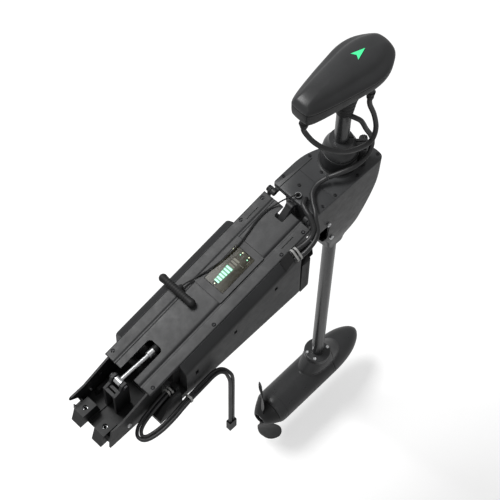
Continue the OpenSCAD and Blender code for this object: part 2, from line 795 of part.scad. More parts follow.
function saddle_ring(x0, x1, half, z) = [for (k = [0 : 15])
    let (a = 360 * k / 16) [(x0 + x1) / 2 + (x1 - x0) / 2 * cos(a), half * sin(a), z]];

module motor_shell() {
    r = motor_d / 2;
    color(charcoal) difference() {
        union() {
            on_motor_axis(motor_rear) cylinder(r = r, h = 560 - motor_rear);
            on_motor_axis(motor_rear - 8) cylinder(r1 = 46, r2 = r, h = 8, $fn = 48);
            loft([saddle_ring(455, 640, 36, motor_z + 24), saddle_ring(466, 610, 40, motor_z + 52),
                saddle_ring(482, 585, 39, motor_z + 76), saddle_ring(495, 565, 35, motor_z + 98)]);
            translate([shaft_x, 0, -813]) cylinder(r = 38, h = 15);
        }
        on_motor_axis(motor_rear + 6) cylinder(r = r - 5, h = 560 - motor_rear);
        on_motor_axis(motor_rear - 20) cylinder(r = 14, h = 40);
        on_motor_axis(559.8) cylinder(r = 80, h = 90);
        translate([shaft_x, 0, -817]) cylinder(r = shaft_r + 0.02, h = 40);
        translate([shaft_x, 0, -870]) cylinder(r = 12, h = 60);
        for (a = [30, 150, 210, 330]) translate([shaft_x, 0, -815]) rotate([0, 0, a]) translate([30, 0, 0])
            cylinder(r = 2.5, h = 20);
    }
}

module motor_nose() {
    r = motor_d / 2;
    color(black) difference() {
        on_motor_axis(560) rotate_extrude() polygon(concat([[0, 0], [r, 0]],
            [for (t = [10 : 10 : 90]) [r * pow(cos(t), 0.55), (motor_front - 560) * sin(t)]]));
        on_motor_axis(559) cylinder(r1 = r - 8, r2 = 22, h = 100, $fn = 48);
    }
}

module neck_screws() {
    color(steel) for (a = [30, 150, 210, 330]) translate([shaft_x, 0, -812]) rotate([0, 0, a]) translate([30, 0, 0]) {
        cylinder(r = 2.45, h = 15);
        translate([0, 0, 14]) cylinder(r = 4.6, h = 3);
    }
}

module stator() {
    color("#9a6a3a") on_motor_axis(390) difference() {
        cylinder(r = motor_d / 2 - 5.2, h = 130);
        translate([0, 0, -1]) cylinder(r = 31, h = 132);
    }
}

module motor_bearings() {
    color(steel) for (x = [349, 540]) on_motor_axis(x) difference() {
        cylinder(r = x > 400 ? 46.5 : 20, h = 8);
        translate([0, 0, -1]) cylinder(r = 6 + running, h = 10);
    }
}

module rotor() {
    color("#6d7073") {
        on_motor_axis(300) cylinder(r = 6, h = 249);
        on_motor_axis(392) cylinder(r = 30, h = 126);
    }
}

// One blade, drawn upwards from the hub. Each row: radius, half chord, shift along the axis, thickness
blade_rows = [[21, 14, -7, 5], [53, 19, -8, 4], [66, 28, -4, 3.4], [85, 34, 0, 3], [108, 35, 0, 2.6], [128, 30, -2, 2.2],
    [141, 19, -4, 1.8], [prop_r, 8, -6, 1.4]];

module blade() {
    loft([for (row = blade_rows) let (a = blade_angle + 0.1 * (row[0] - 20))
        [for (c = [[-1, 0], [-0.5, -1], [0.5, -1], [1, 0], [0.5, 1], [-0.5, 1]])
            [row[2] + c[0] * row[1] * cos(a) - c[1] * row[3] / 2 * sin(a),
                c[0] * row[1] * sin(a) + c[1] * row[3] / 2 * cos(a), row[0]]]]);
}

module propeller() {
    color(black) {
        on_motor_axis(295) rotate_extrude() polygon([[17, 0], [20, 0], [24.5, 4], [33, 16], [41, 28], [45.5, 38], [44.5, 38.5],
            [6 + running, 38.5], [6 + running, 22], [17, 22]]);
        for (a = [-10, 170]) translate([322, 0, motor_z]) rotate([a, 0, 0]) blade();
    }
}

module propeller_nut() {
    color(steel) on_motor_axis(305) difference() {
        cylinder(r = 9, h = 11.5, $fn = 6);
        translate([0, 0, -1]) cylinder(r = 6, h = 14);
    }
}

deck_tray();
arm_rails();
arm_crossplates();
top_cover();
port_side_cover();
starboard_side_cover();
end_bumpers();
spring_bracket();
bracket_pin();
gas_spring_rod();
gas_spring_cylinder();
tilt_pins();
mount_screws();
latch_keeper();
motor_controller();
display_bezel();
display_board();
charge_bars();
display_window();
power_button();
pull_handle();
release_cord();
cable_clamp_block();
cable_ties();
arm_gland();
power_lead_positive();
power_lead_negative();
power_plug();
steering_housing();
housing_lid();
lid_screws();
housing_bolts();
cord_eyelet();
latch_bolt();
steering_servo();
servo_pinion();
sleeve_bearings();
steering_sleeve();
ring_gear();
depth_collar();
collar_knob();
head_base();
head_cover();
head_neck();
head_board();
direction_arrow();
head_glands();
shaft_tube();
head_loop_cable();
depth_cable();
steer_cable();
tilt_cable();
motor_shell();
motor_nose();
neck_screws();
stator();
motor_bearings();
rotor();
propeller();
propeller_nut();
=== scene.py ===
"""The looks of a bow-mount trolling motor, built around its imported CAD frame."""

import json
import math

import bmesh
import bpy
from mathutils import Matrix, Vector

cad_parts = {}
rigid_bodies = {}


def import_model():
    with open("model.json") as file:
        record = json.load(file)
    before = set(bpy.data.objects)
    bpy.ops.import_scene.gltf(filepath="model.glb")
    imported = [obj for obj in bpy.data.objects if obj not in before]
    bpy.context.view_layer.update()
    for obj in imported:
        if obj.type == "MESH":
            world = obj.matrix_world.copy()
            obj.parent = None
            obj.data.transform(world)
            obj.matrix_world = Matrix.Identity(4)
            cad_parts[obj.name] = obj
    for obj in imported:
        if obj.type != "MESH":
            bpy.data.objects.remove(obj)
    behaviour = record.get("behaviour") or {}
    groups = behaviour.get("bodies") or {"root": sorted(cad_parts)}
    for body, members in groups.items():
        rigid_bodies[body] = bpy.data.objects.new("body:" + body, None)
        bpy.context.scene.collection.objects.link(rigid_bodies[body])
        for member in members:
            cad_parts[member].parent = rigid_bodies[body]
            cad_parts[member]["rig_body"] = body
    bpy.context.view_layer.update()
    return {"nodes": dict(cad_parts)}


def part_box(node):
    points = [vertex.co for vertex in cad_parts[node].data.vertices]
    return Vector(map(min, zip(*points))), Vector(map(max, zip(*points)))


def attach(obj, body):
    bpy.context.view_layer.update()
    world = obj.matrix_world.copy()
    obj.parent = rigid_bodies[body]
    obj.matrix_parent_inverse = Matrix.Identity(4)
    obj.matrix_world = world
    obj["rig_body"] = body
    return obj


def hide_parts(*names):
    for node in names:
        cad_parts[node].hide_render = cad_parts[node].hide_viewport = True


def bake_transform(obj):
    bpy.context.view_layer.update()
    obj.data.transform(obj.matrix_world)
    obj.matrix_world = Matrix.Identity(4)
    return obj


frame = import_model()
NODES = frame["nodes"]
MM = 0.001


# ---------- camera ----------

SENSOR_MM = 36
LENS_MM = 113.5
CAMERA_AT = (-1.000, -1.165, 3.294)


def make_camera():
    data = bpy.data.cameras.new("camera")
    data.sensor_width = SENSOR_MM
    data.lens = LENS_MM
    data.clip_end = 50
    cam = bpy.data.objects.new("camera", data)
    bpy.context.scene.collection.objects.link(cam)
    right = Vector((0.6990, -0.7150, 0.0109)).normalized()
    back = -Vector((0.3490, 0.3280, -0.8780)).normalized()
    up = back.cross(right).normalized()
    right = up.cross(back).normalized()
    turn = Matrix((right, up, back)).transposed().to_4x4()
    cam.matrix_world = Matrix.Translation(CAMERA_AT) @ turn
    bpy.context.scene.camera = cam


make_camera()

# ---------- main sizes, in millimetres unless said ----------

SHAFT_X = 530
SHAFT_R = 17.25
MOTOR_Z = -909
HINGE_X, HINGE_Z = 369, 216
LEVER_REACH = 53
SPRING_Z = 108
LID_Z = 228
TURRET_TOP = 278
KNOB_ANGLE = math.radians(-42)
COVER_RISE = 0.203
COVER_TILT = math.atan(COVER_RISE)
COVER_REAR, COVER_FRONT, COVER_REAR_Z = -147, 360, 104
COVER_SCREWS = (-130, 60, 275, 345)
PANEL_X, PANEL_LONG, PANEL_HALF = 103, 143, 41
WINDOW_X, WINDOW_LONG, WINDOW_HALF = 123, 105, 29
BUTTON = (129, 2)


def cover_z(x):
    """Height of the cover's plane at a place along the bow."""
    return COVER_REAR_Z + COVER_RISE * (x - COVER_REAR)


ON_COVER = Matrix.Translation((0, 0, cover_z(0))) @ Matrix.Rotation(-COVER_TILT, 4, "Y")
SHAFT = Matrix.Translation((SHAFT_X, 0, 0))
MOTOR = Matrix.Translation((0, 0, MOTOR_Z)) @ Matrix.Rotation(math.pi / 2, 4, "Y")


def along(x):
    """Distance on the cover's sloping plane for a place along the bow."""
    return x / math.cos(COVER_TILT)


def turned(x, y, z, axis="Z", degrees=0.0):
    """A place, with a turn about one axis."""
    return Matrix.Translation((x, y, z)) @ Matrix.Rotation(math.radians(degrees), 4, axis)


def across(side):
    """Stands a drawing of (y, z) points across the boat, on its port (1) or starboard (-1) side."""
    return Matrix(((0, 0, 1, 0), (side, 0, 0, 0), (0, 1, 0, 0), (0, 0, 0, 1)))


# ---------- small tools for meshes ----------

def coat(mesh, material):
    """Gives a mesh one material in place of those it had."""
    mesh.materials.clear()
    mesh.materials.append(material)


def link(name, mesh, material=None):
    piece = bpy.data.objects.new(name, mesh)
    bpy.context.scene.collection.objects.link(piece)
    if material is not None:
        coat(mesh, material)
    return piece


def from_bmesh(name, bm, material):
    """The finished mesh: everything is drawn in millimetres, and scaled to metres here."""
    bmesh.ops.recalc_face_normals(bm, faces=bm.faces)
    bm.transform(Matrix.Scale(MM, 4))
    mesh = bpy.data.meshes.new(name)
    bm.to_mesh(mesh)
    bm.free()
    mesh.shade_smooth()
    return link(name, mesh, material)


def settle(piece):
    """Applies a piece's modifiers to its mesh."""
    graph = bpy.context.evaluated_depsgraph_get()
    graph.update()
    mesh = bpy.data.meshes.new_from_object(piece.evaluated_get(graph))
    piece.modifiers.clear()
    piece.data = mesh
    return piece


def cut(piece, *tools):
    """Takes the tools' volumes out of a piece, and removes the tools."""
    for tool in tools:
        mod = piece.modifiers.new("cut", "BOOLEAN")
        mod.operation = "DIFFERENCE"
        mod.solver = "EXACT"
        mod.object = tool
    settle(piece)
    for tool in tools:
        bpy.data.objects.remove(tool)
    return piece


def round_edges(piece, width, segments=3, angle=35):
    """Rounds the sharp edges of a piece, in millimetres."""
    bm = bmesh.new()
    bm.from_mesh(piece.data)
    bmesh.ops.remove_doubles(bm, verts=bm.verts, dist=2e-6)
    bmesh.ops.dissolve_limit(bm, angle_limit=math.radians(0.6), verts=bm.verts, edges=bm.edges)
    bm.to_mesh(piece.data)
    bm.free()
    mod = piece.modifiers.new("round", "BEVEL")
    mod.width = width * MM
    mod.segments = segments
    mod.limit_method = "ANGLE"
    mod.angle_limit = math.radians(angle)
    mod.harden_normals = False
    settle(piece)
    shade(piece)
    even = piece.modifiers.new("even", "WEIGHTED_NORMAL")
    even.keep_sharp = True
    even.weight = 80
    return settle(piece)


def shade(piece, angle=32):
    """Smooth shading that stays sharp across edges steeper than the angle."""
    mesh = piece.data
    if "custom_normal" in mesh.attributes:
        mesh.attributes.remove(mesh.attributes["custom_normal"])
    mesh.shade_smooth()
    bm = bmesh.new()
    bm.from_mesh(mesh)
    limit = math.radians(angle)
    for edge in bm.edges:
        edge.smooth = len(edge.link_faces) == 2 and edge.calc_face_angle(0) < limit
    bm.to_mesh(mesh)
    bm.free()
    return piece


def softened(node, material, width, segments=3, angle=35):
    """A copy of a CAD node with rounded edges and clean shading, shown in its place."""
    piece = link(node + "_moulded", NODES[node].data.copy(), material)
    round_edges(piece, width, segments, angle)
    return stand_in(piece, NODES[node]["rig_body"], node)


def place(piece, body):
    """Puts a piece on its body."""
    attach(piece, body)
    return piece


def stand_in(piece, body, node):
    """Shows a piece in place of a CAD node, which it hides, and puts the piece on its body."""
    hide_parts(node)
    return place(piece, body)


def strip(bm, low, high):
    """A band of four-sided faces between two rings that have the same count."""
    count = len(low)
    for i in range(count):
        k = (i + 1) % count
        bm.faces.new((low[i], low[k], high[k], high[i]))


def prism(name, outline, low, high, material=None, matrix=None):
    """An outline of (x, y) points made solid between two heights."""
    bm = bmesh.new()
    bottom = [bm.verts.new((x, y, low)) for x, y in outline]
    top = [bm.verts.new((x, y, high)) for x, y in outline]
    bm.faces.new(reversed(bottom))
    bm.faces.new(top)
    strip(bm, bottom, top)
    if matrix is not None:
        bm.transform(matrix)
    return shade(from_bmesh(name, bm, material))


def box(name, low, high, material=None, matrix=None):
    outline = ((low[0], low[1]), (high[0], low[1]), (high[0], high[1]), (low[0], high[1]))
    return prism(name, outline, low[2], high[2], material, matrix)


def rounded_rectangle(x0, y0, x1, y1, r, steps=6):
    """The outline of a rectangle with round corners."""
    points = []
    corners = ((x1 - r, y0 + r, -90), (x1 - r, y1 - r, 0), (x0 + r, y1 - r, 90), (x0 + r, y0 + r, 180))
    for cx, cy, start in corners:
        for i in range(steps + 1):
            a = math.radians(start + 90 * i / steps)
            points.append((cx + r * math.cos(a), cy + r * math.sin(a)))
    return points


def lathe(name, profile, material, matrix, sides=64, tube_like=False):
    """Turns a profile of (radius, height) points about Z, then places it with a matrix."""
    bm = bmesh.new()
    rings = []
    for r, z in profile:
        if r < 1e-6:
            rings.append([bm.verts.new((0, 0, z))])
            continue
        ring = []
        for i in range(sides):
            a = 2 * math.pi * i / sides
            ring.append(bm.verts.new((r * math.cos(a), r * math.sin(a), z)))
        rings.append(ring)
    for low, high in zip(rings, rings[1:]):
        if len(low) > 1 and len(high) > 1:
            strip(bm, low, high)
            continue
        for i in range(sides):
            k = (i + 1) % sides
            if len(high) > 1:
                bm.faces.new((low[0], high[i], high[k]))
            elif len(low) > 1:
                bm.faces.new((low[i], low[k], high[0]))
    if tube_like:
        strip(bm, rings[-1], rings[0])
    else:
        for ring, flip in ((rings[0], True), (rings[-1], False)):
            if len(ring) > 1:
                bm.faces.new(reversed(ring) if flip else ring)
    bm.transform(matrix)
    return shade(from_bmesh(name, bm, material))


def rod(name, radius, low, high, material, matrix, sides):
    """A plain round bar, mostly used to cut a hole."""
    return lathe(name, [(0, low), (radius, low), (radius, high), (0, high)], material, matrix, sides)


def loft(name, rings, material=None):
    """A closed skin over rings of points that all have the same count."""
    bm = bmesh.new()
    made = [[bm.verts.new(p) for p in ring] for ring in rings]
    for low, high in zip(made, made[1:]):
        strip(bm, low, high)
    bm.faces.new(reversed(made[0]))
    bm.faces.new(made[-1])
    return from_bmesh(name, bm, material)


def curve_point(points, i, t):
    """A point on the smooth curve through a list of points."""
    a, b = points[max(i - 1, 0)], points[i]
    c, d = points[i + 1], points[min(i + 2, len(points) - 1)]
    return 0.5 * (2 * b + (c - a) * t + (2 * a - 5 * b + 4 * c - d) * t * t + (3 * b - a - 3 * c + d) * t ** 3)


def smooth_path(points, steps):
    points = [Vector(p) for p in points]
    path = [curve_point(points, i, k / steps) for i in range(len(points) - 1) for k in range(steps)]
    return path + [points[-1]]


def tube(name, path, radius, material, sides=16):
    """A closed round tube along a path."""
    headings = []
    for i in range(len(path)):
        headings.append((path[min(i + 1, len(path) - 1)] - path[max(i - 1, 0)]).normalized())
    side = Vector((0.3, 0.9, 0.31))
    rings = []
    for p, t in zip(path, headings):
        side = (side - t * side.dot(t)).normalized()
        across = t.cross(side)
        rings.append([p + radius * (math.cos(a) * side + math.sin(a) * across)
                      for a in (2 * math.pi * k / sides for k in range(sides))])
    return loft(name, rings, material)


def join(name, pieces, material=None):
    """Several pieces as one object."""
    for other in bpy.context.selected_objects:
        other.select_set(False)
    for piece in pieces:
        piece.select_set(True)
    bpy.context.view_layer.objects.active = pieces[0]
    with bpy.context.temp_override(active_object=pieces[0], selected_editable_objects=pieces):
        bpy.ops.object.join()
    pieces[0].name = name
    if material is not None:
        coat(pieces[0].data, material)
    return pieces[0]


# ---------- materials ----------

class Look:
    """A material in the making, with the textures that feed its shader."""

    def __init__(self, name):
        self.material = bpy.data.materials.new(name)
        self.material.use_nodes = True
        self.nodes = self.material.node_tree.nodes
        self.links = self.material.node_tree.links
        self.shader = self.nodes["Principled BSDF"]

    def set(self, **values):
        """Sets inputs of the shader: an underscore stands for a space."""
        for name, value in values.items():
            self.shader.inputs[name.replace("_", " ")].default_value = value

    def feed(self, source, name):
        self.links.new(source, self.shader.inputs[name])

    def noise(self, scale, detail=4.0, roughness=0.55, stretch=(1, 1, 1)):
        coords = self.nodes.new("ShaderNodeTexCoord")
        mapping = self.nodes.new("ShaderNodeMapping")
        mapping.inputs["Scale"].default_value = stretch
        texture = self.nodes.new("ShaderNodeTexNoise")
        texture.inputs["Scale"].default_value = scale
        texture.inputs["Detail"].default_value = detail
        texture.inputs["Roughness"].default_value = roughness
        self.links.new(coords.outputs["Object"], mapping.inputs["Vector"])
        self.links.new(mapping.outputs["Vector"], texture.inputs["Vector"])
        return texture.outputs["Fac"]

    def ramp(self, source, low, high, colour_low, colour_high, name="Base Color"):
        """Feeds a colour that follows a texture."""
        node = self.nodes.new("ShaderNodeValToRGB")
        node.color_ramp.elements[0].position = low
        node.color_ramp.elements[1].position = high
        node.color_ramp.elements[0].color = (*colour_low, 1)
        node.color_ramp.elements[1].color = (*colour_high, 1)
        self.links.new(source, node.inputs["Fac"])
        self.feed(node.outputs["Color"], name)

    def gloss(self, source, low, high):
        """Feeds a roughness, with the texture's middle range mapped to the range low to high."""
        node = self.nodes.new("ShaderNodeMapRange")
        node.inputs["From Min"].default_value = 0.3
        node.inputs["From Max"].default_value = 0.7
        node.inputs["To Min"].default_value = low
        node.inputs["To Max"].default_value = high
        self.links.new(source, node.inputs["Value"])
        self.feed(node.outputs["Result"], "Roughness")

    def bump(self, source, strength, depth):
        node = self.nodes.new("ShaderNodeBump")
        node.inputs["Strength"].default_value = strength
        node.inputs["Distance"].default_value = depth
        self.links.new(source, node.inputs["Height"])
        self.feed(node.outputs["Normal"], "Normal")


def moulded(name, colour, rough, grain=1400.0, depth=0.00012, cloud=0.16, sheen=0.28):
    """Textured plastic or paint: a fine pebbled grain, with broad faint variation in tone and gloss."""
    look = Look(name)
    dark, light = [c * (1 - cloud) for c in colour], [c * (1 + cloud) for c in colour]
    look.ramp(look.noise(9.0, 5.0, 0.6), 0.32, 0.68, dark, light)
    look.gloss(look.noise(46.0, 6.0, 0.65), rough - 0.05, rough + 0.06)
    look.set(Specular_IOR_Level=sheen)
    look.bump(look.noise(grain, 2.0, 0.5), 0.35, depth)
    return look.material


def brushed(name, colour, rough, stretch, metal=1.0):
    """Metal with fine marks along one direction."""
    look = Look(name)
    marks = look.noise(240.0, 6.0, 0.7, stretch)
    look.ramp(marks, 0.3, 0.7, [c * 0.82 for c in colour], colour)
    look.gloss(marks, rough - 0.06, rough + 0.1)
    look.set(Metallic=metal)
    look.bump(marks, 0.15, 0.00005)
    return look.material


def glowing(name, colour, strength, base):
    """A lit element behind a diffuser, a little uneven."""
    look = Look(name)
    look.ramp(look.noise(180.0, 2.0), 0.3, 0.7, [c * 0.86 for c in colour], colour, "Emission Color")
    look.set(Emission_Strength=strength, Base_Color=(*base, 1), Roughness=0.3)
    return look.material


def corded(name, colour, rough):
    """A cable's sheath: matt rubber with faint ribs, and a lighter tone on its raised grain."""
    look = Look(name)
    grain = look.noise(900.0, 3.0, 0.6)
    look.ramp(grain, 0.3, 0.72, colour, [c * 1.7 for c in colour])
    look.gloss(look.noise(60.0), rough - 0.07, rough + 0.07)
    look.bump(grain, 0.3, 0.0002)
    return look.material


COVER_PAINT = moulded("cover_plastic", (0.0225, 0.023, 0.024), 0.42)
FRAME_PLASTIC = moulded("frame_plastic", (0.01, 0.0103, 0.0107), 0.46)
DARK_GROOVE = moulded("groove_plastic", (0.0072, 0.0074, 0.0077), 0.5)
SIDE_PLASTIC = moulded("side_plastic", (0.0198, 0.0204, 0.0215), 0.42)
HOUSING_PLASTIC = moulded("housing_plastic", (0.015, 0.0154, 0.0161), 0.40)
LID_PLASTIC = moulded("lid_plastic", (0.046, 0.047, 0.0485), 0.38)
HEAD_PLASTIC = moulded("head_plastic", (0.034, 0.0345, 0.0355), 0.34)
HEAD_UNDER = moulded("head_under_plastic", (0.0121, 0.0124, 0.0129), 0.45)
MOTOR_PAINT = moulded("motor_paint", (0.034, 0.0345, 0.0355), 0.31, 700.0, 0.00008)
PROP_PLASTIC = moulded("propeller_plastic", (0.0156, 0.0159, 0.0165), 0.38)
BRACKET_PAINT = moulded("bracket_paint", (0.0264, 0.0268, 0.0276), 0.42, 900.0, 0.0001)
RUBBER = moulded("rubber", (0.0102, 0.0102, 0.0105), 0.6, 1800.0, 0.0001, 0.2, 0.35)
BUMPER = moulded("bumper_rubber", (0.0055, 0.0055, 0.0057), 0.55, 1500.0, 0.0001, 0.2, 0.35)
BEZEL = moulded("bezel_plastic", (0.011, 0.011, 0.011), 0.32)
STEEL = brushed("bright_steel", (0.78, 0.79, 0.80), 0.27, (1, 8, 8))
PIN_STEEL = brushed("screw_steel", (0.62, 0.63, 0.64), 0.33, (3, 3, 3))
DARK_STEEL = brushed("dark_steel", (0.15, 0.15, 0.155), 0.36, (3, 3, 3), 0.9)
BLACK_STEEL = brushed("black_steel", (0.035, 0.035, 0.037), 0.42, (3, 3, 3), 0.7)
CABLE = corded("cable_rubber", (0.0121, 0.0121, 0.0127), 0.44)
LEAD = corded("lead_rubber", (0.0154, 0.0154, 0.0165), 0.46)
TIE = moulded("tie_nylon", (0.36, 0.36, 0.35), 0.35, 500.0, 0.00005, 0.05)
GREEN = glowing("green_light", (0.42, 1.0, 0.62), 1.1, (0.1, 0.5, 0.3))
GREEN_HALO = glowing("green_glow", (0.02, 0.30, 0.12), 0.8, (0.01, 0.08, 0.04))
ARROW_GREEN = glowing("arrow_light", (0.06, 0.78, 0.30), 1.0, (0.03, 0.3, 0.12))
WHITE_LIGHT = glowing("status_light", (0.85, 0.95, 0.55), 1.1, (0.4, 0.4, 0.3))
UNLIT = moulded("unlit_bar", (0.16, 0.155, 0.12), 0.4, 600.0, 0.00005)
BOARD = moulded("circuit_board", (0.03, 0.10, 0.05), 0.4, 300.0, 0.0002)
ALUMINIUM = brushed("anodised_sleeve", (0.32, 0.33, 0.34), 0.35, (8, 8, 1))
GEAR = brushed("gear_steel", (0.5, 0.5, 0.52), 0.32, (3, 3, 3))
COPPER = brushed("copper", (0.75, 0.38, 0.2), 0.35, (1, 6, 6))
BEARING = moulded("bearing_plastic", (0.7, 0.69, 0.62), 0.4, 500.0, 0.00005, 0.05)


def shaft_material():
    """Satin composite with fibres along its length."""
    look = Look("shaft_composite")
    fibres = look.noise(420.0, 5.0, 0.65, (1, 1, 0.03))
    look.ramp(fibres, 0.3, 0.7, (0.012, 0.0123, 0.0129), (0.026, 0.0266, 0.028))
    look.gloss(fibres, 0.24, 0.36)
    look.set(Coat_Weight=0.25, Coat_Roughness=0.2)
    look.bump(fibres, 0.12, 0.00005)
    return look.material


def window_material():
    """Smoked glass over the display: dark olive, with lighter streaks painted on as a faint sheen of reflected
    light.
    """
    look = Look("smoked_window")
    sheen_streaks = look.noise(14.0, 4.0, 0.6, (1, 3, 1))
    # painted sheen: the lighter streaky patches stand in for light reflected on the glass
    look.ramp(sheen_streaks, 0.35, 0.7, (0.020, 0.018, 0.010), (0.050, 0.046, 0.028))
    look.gloss(sheen_streaks, 0.08, 0.18)
    look.set(Coat_Weight=0.08, Specular_IOR_Level=0.12)
    return look.material


SHAFT_COMPOSITE = shaft_material()
WINDOW = window_material()

# ---------- free cords ----------

LEAD_D = 8.5
LEAD_GAP = 4.8
LEAD_ROUTE = [(-84.4, -74.5, 46), (-104, -74.5, 46), (-128, -75, 40), (-152, -75.5, 30), (-176, -77, 20),
              (-194, -82, 12), (-204, -92, 9), (-203, -103, 9), (-190, -111, 9), (-160, -116.5, 12),
              (-124, -117, 18), (-96, -115, 23), (-70, -112.5, 24), (-40, -110.5, 23), (-12, -109.5, 25),
              (10, -110, 29), (26, -114, 30), (36, -122, 25), (41, -131, 10), (43, -135, -12),
              (43, -136, -50), (43, -136, -110), (43, -136, -180), (43, -136, -250)]
CORD_D = 3.5
CORD_ROUTE = [(74.6, 50, 159.2), (84, 49.4, 158.6), (110, 42, 162), (140, 33, 170), (170, 27, 176),
              (200, 24, 182), (230, 24, 188), (260, 28, 194), (290, 33, 200), (320, 34, 206),
              (345, 28, 212), (365, 16, 228), (380, 6, 237), (390, 1.5, 239), (394, 0, 234), (394, 0, 224)]
HANGING_POINTS = 6


def beside(route, side):
    """The lead's own line, half a gap to one side of the pair's middle."""
    points = [Vector(p) for p in route]
    shifted = []
    for i, p in enumerate(points):
        heading = points[min(i + 1, len(points) - 1)] - points[max(i - 1, 0)]
        across = heading.normalized().cross(Vector((0, 0.25, 1))).normalized()
        if i >= len(points) - HANGING_POINTS:
            across = Vector((-1, 0, 0))
        shifted.append(p + side * LEAD_GAP * across)
    return shifted


def make_leads():
    for side, sign in (("positive", 1), ("negative", -1)):
        node = "power_lead_" + side
        path = smooth_path(beside(LEAD_ROUTE, sign), 8)
        lead = tube(node + "_sheath", path, LEAD_D / 2, LEAD, 16)
        stand_in(lead, "mount", node)


def make_release_cord():
    path = smooth_path(CORD_ROUTE, 8)
    cord = tube("release_cord_braid", path, CORD_D / 2, RUBBER, 12)
    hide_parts("release_cord")
    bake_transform(cord)


# ---------- deck mount and arm ----------

def screw(name, matrix, radius, height, material=None, drive=6):
    """A pan-head screw with a recessed drive, standing on the plane z = 0 of its matrix."""
    head = lathe(name, [(0, -0.5), (radius, -0.5), (radius, height * 0.45), (radius * 0.93, height * 0.8),
                        (radius * 0.75, height), (0, height)], material or PIN_STEEL, matrix, 32)
    recess = prism("recess", [(radius * 0.45 * math.cos(2 * math.pi * k / drive),
                               radius * 0.45 * math.sin(2 * math.pi * k / drive)) for k in range(drive)],
                   height * 0.35, height + 1, None, matrix)
    return shade(cut(head, recess))


def make_tray():
    softened("deck_tray", FRAME_PLASTIC, 1.6)
    extras = []
    for side in (-1, 1):
        for x in (-250, 250):
            y = side * 32
            extras.append(lathe("boss_washer", [(4.2, 32.8), (5.6, 32.8), (5.6, 34), (4.2, 34)], PIN_STEEL,
                                Matrix.Translation((x, y, 0)), 32, True))
        # ribs between the outer wall and the boss, and clips along the wall's top
        for x in (-262, -240):
            extras.append(prism("boss_rib", [(48, 4), (60.5, 4), (60.5, 30), (48, 36)], x, x + 3,
                                FRAME_PLASTIC, across(side)))
        for x in (-216, -180):
            extras.append(box("wall_clip", (x, 57.5, 60), (x + 9, 60.2, 68), FRAME_PLASTIC,
                              Matrix.Diagonal((1, side, 1, 1))))
    for k in range(4):
        x = -126 + 46 * k
        extras.append(box("floor_rib", (x, -55, 5.8), (x + 3, 55, 10), FRAME_PLASTIC))
    for i, piece in enumerate(extras):
        if not piece.name.startswith("boss_washer"):
            round_edges(piece, 0.7, 2)
        piece.name = piece.name.split(".")[0] + "_%02d" % i
        place(piece, "mount")


def make_arm():
    for node, material, width, segments in (
            ("arm_rails", BRACKET_PAINT, 1.2, 3), ("arm_crossplates", BRACKET_PAINT, 0.8, 3),
            ("spring_bracket", BRACKET_PAINT, 1.6, 3), ("bracket_pin", BLACK_STEEL, 0.8, 3),
            ("tilt_pins", BLACK_STEEL, 0.8, 3), ("latch_keeper", DARK_STEEL, 0.6, 3),
            ("cable_clamp_block", FRAME_PLASTIC, 2.5, 4), ("arm_gland", RUBBER, 2.0, 4),
            ("power_plug", FRAME_PLASTIC, 1.4, 3), ("motor_controller", HEAD_UNDER, 1.0, 3)):
        softened(node, material, width, segments)


def pane(name, corners, radius, low, high, material=None, steps=6):
    """A round-cornered slab on the cover's plane, from corners (x0, y0, x1, y1)."""
    return prism(name, rounded_rectangle(*corners, radius, steps), low, high, material, ON_COVER)


def cover_profile():
    """The cover's section across the boat as (y, z), with a soft channel each side of the raised middle."""
    return [(0, 2.75), (20, 2.65), (33, 2.45), (36.5, 2.25), (38.2, 1.6), (39.4, 0.4), (40.6, -0.75),
            (42.5, -1.0), (44.6, -0.7), (46.2, -0.1), (48.5, 0.1), (60, 0.1), (69.5, 0), (71.6, -0.45),
            (72.7, -1.5), (73, -3), (73, -14), (70.2, -14), (70.2, -3.4), (46, -3.4), (0, -3.2)]


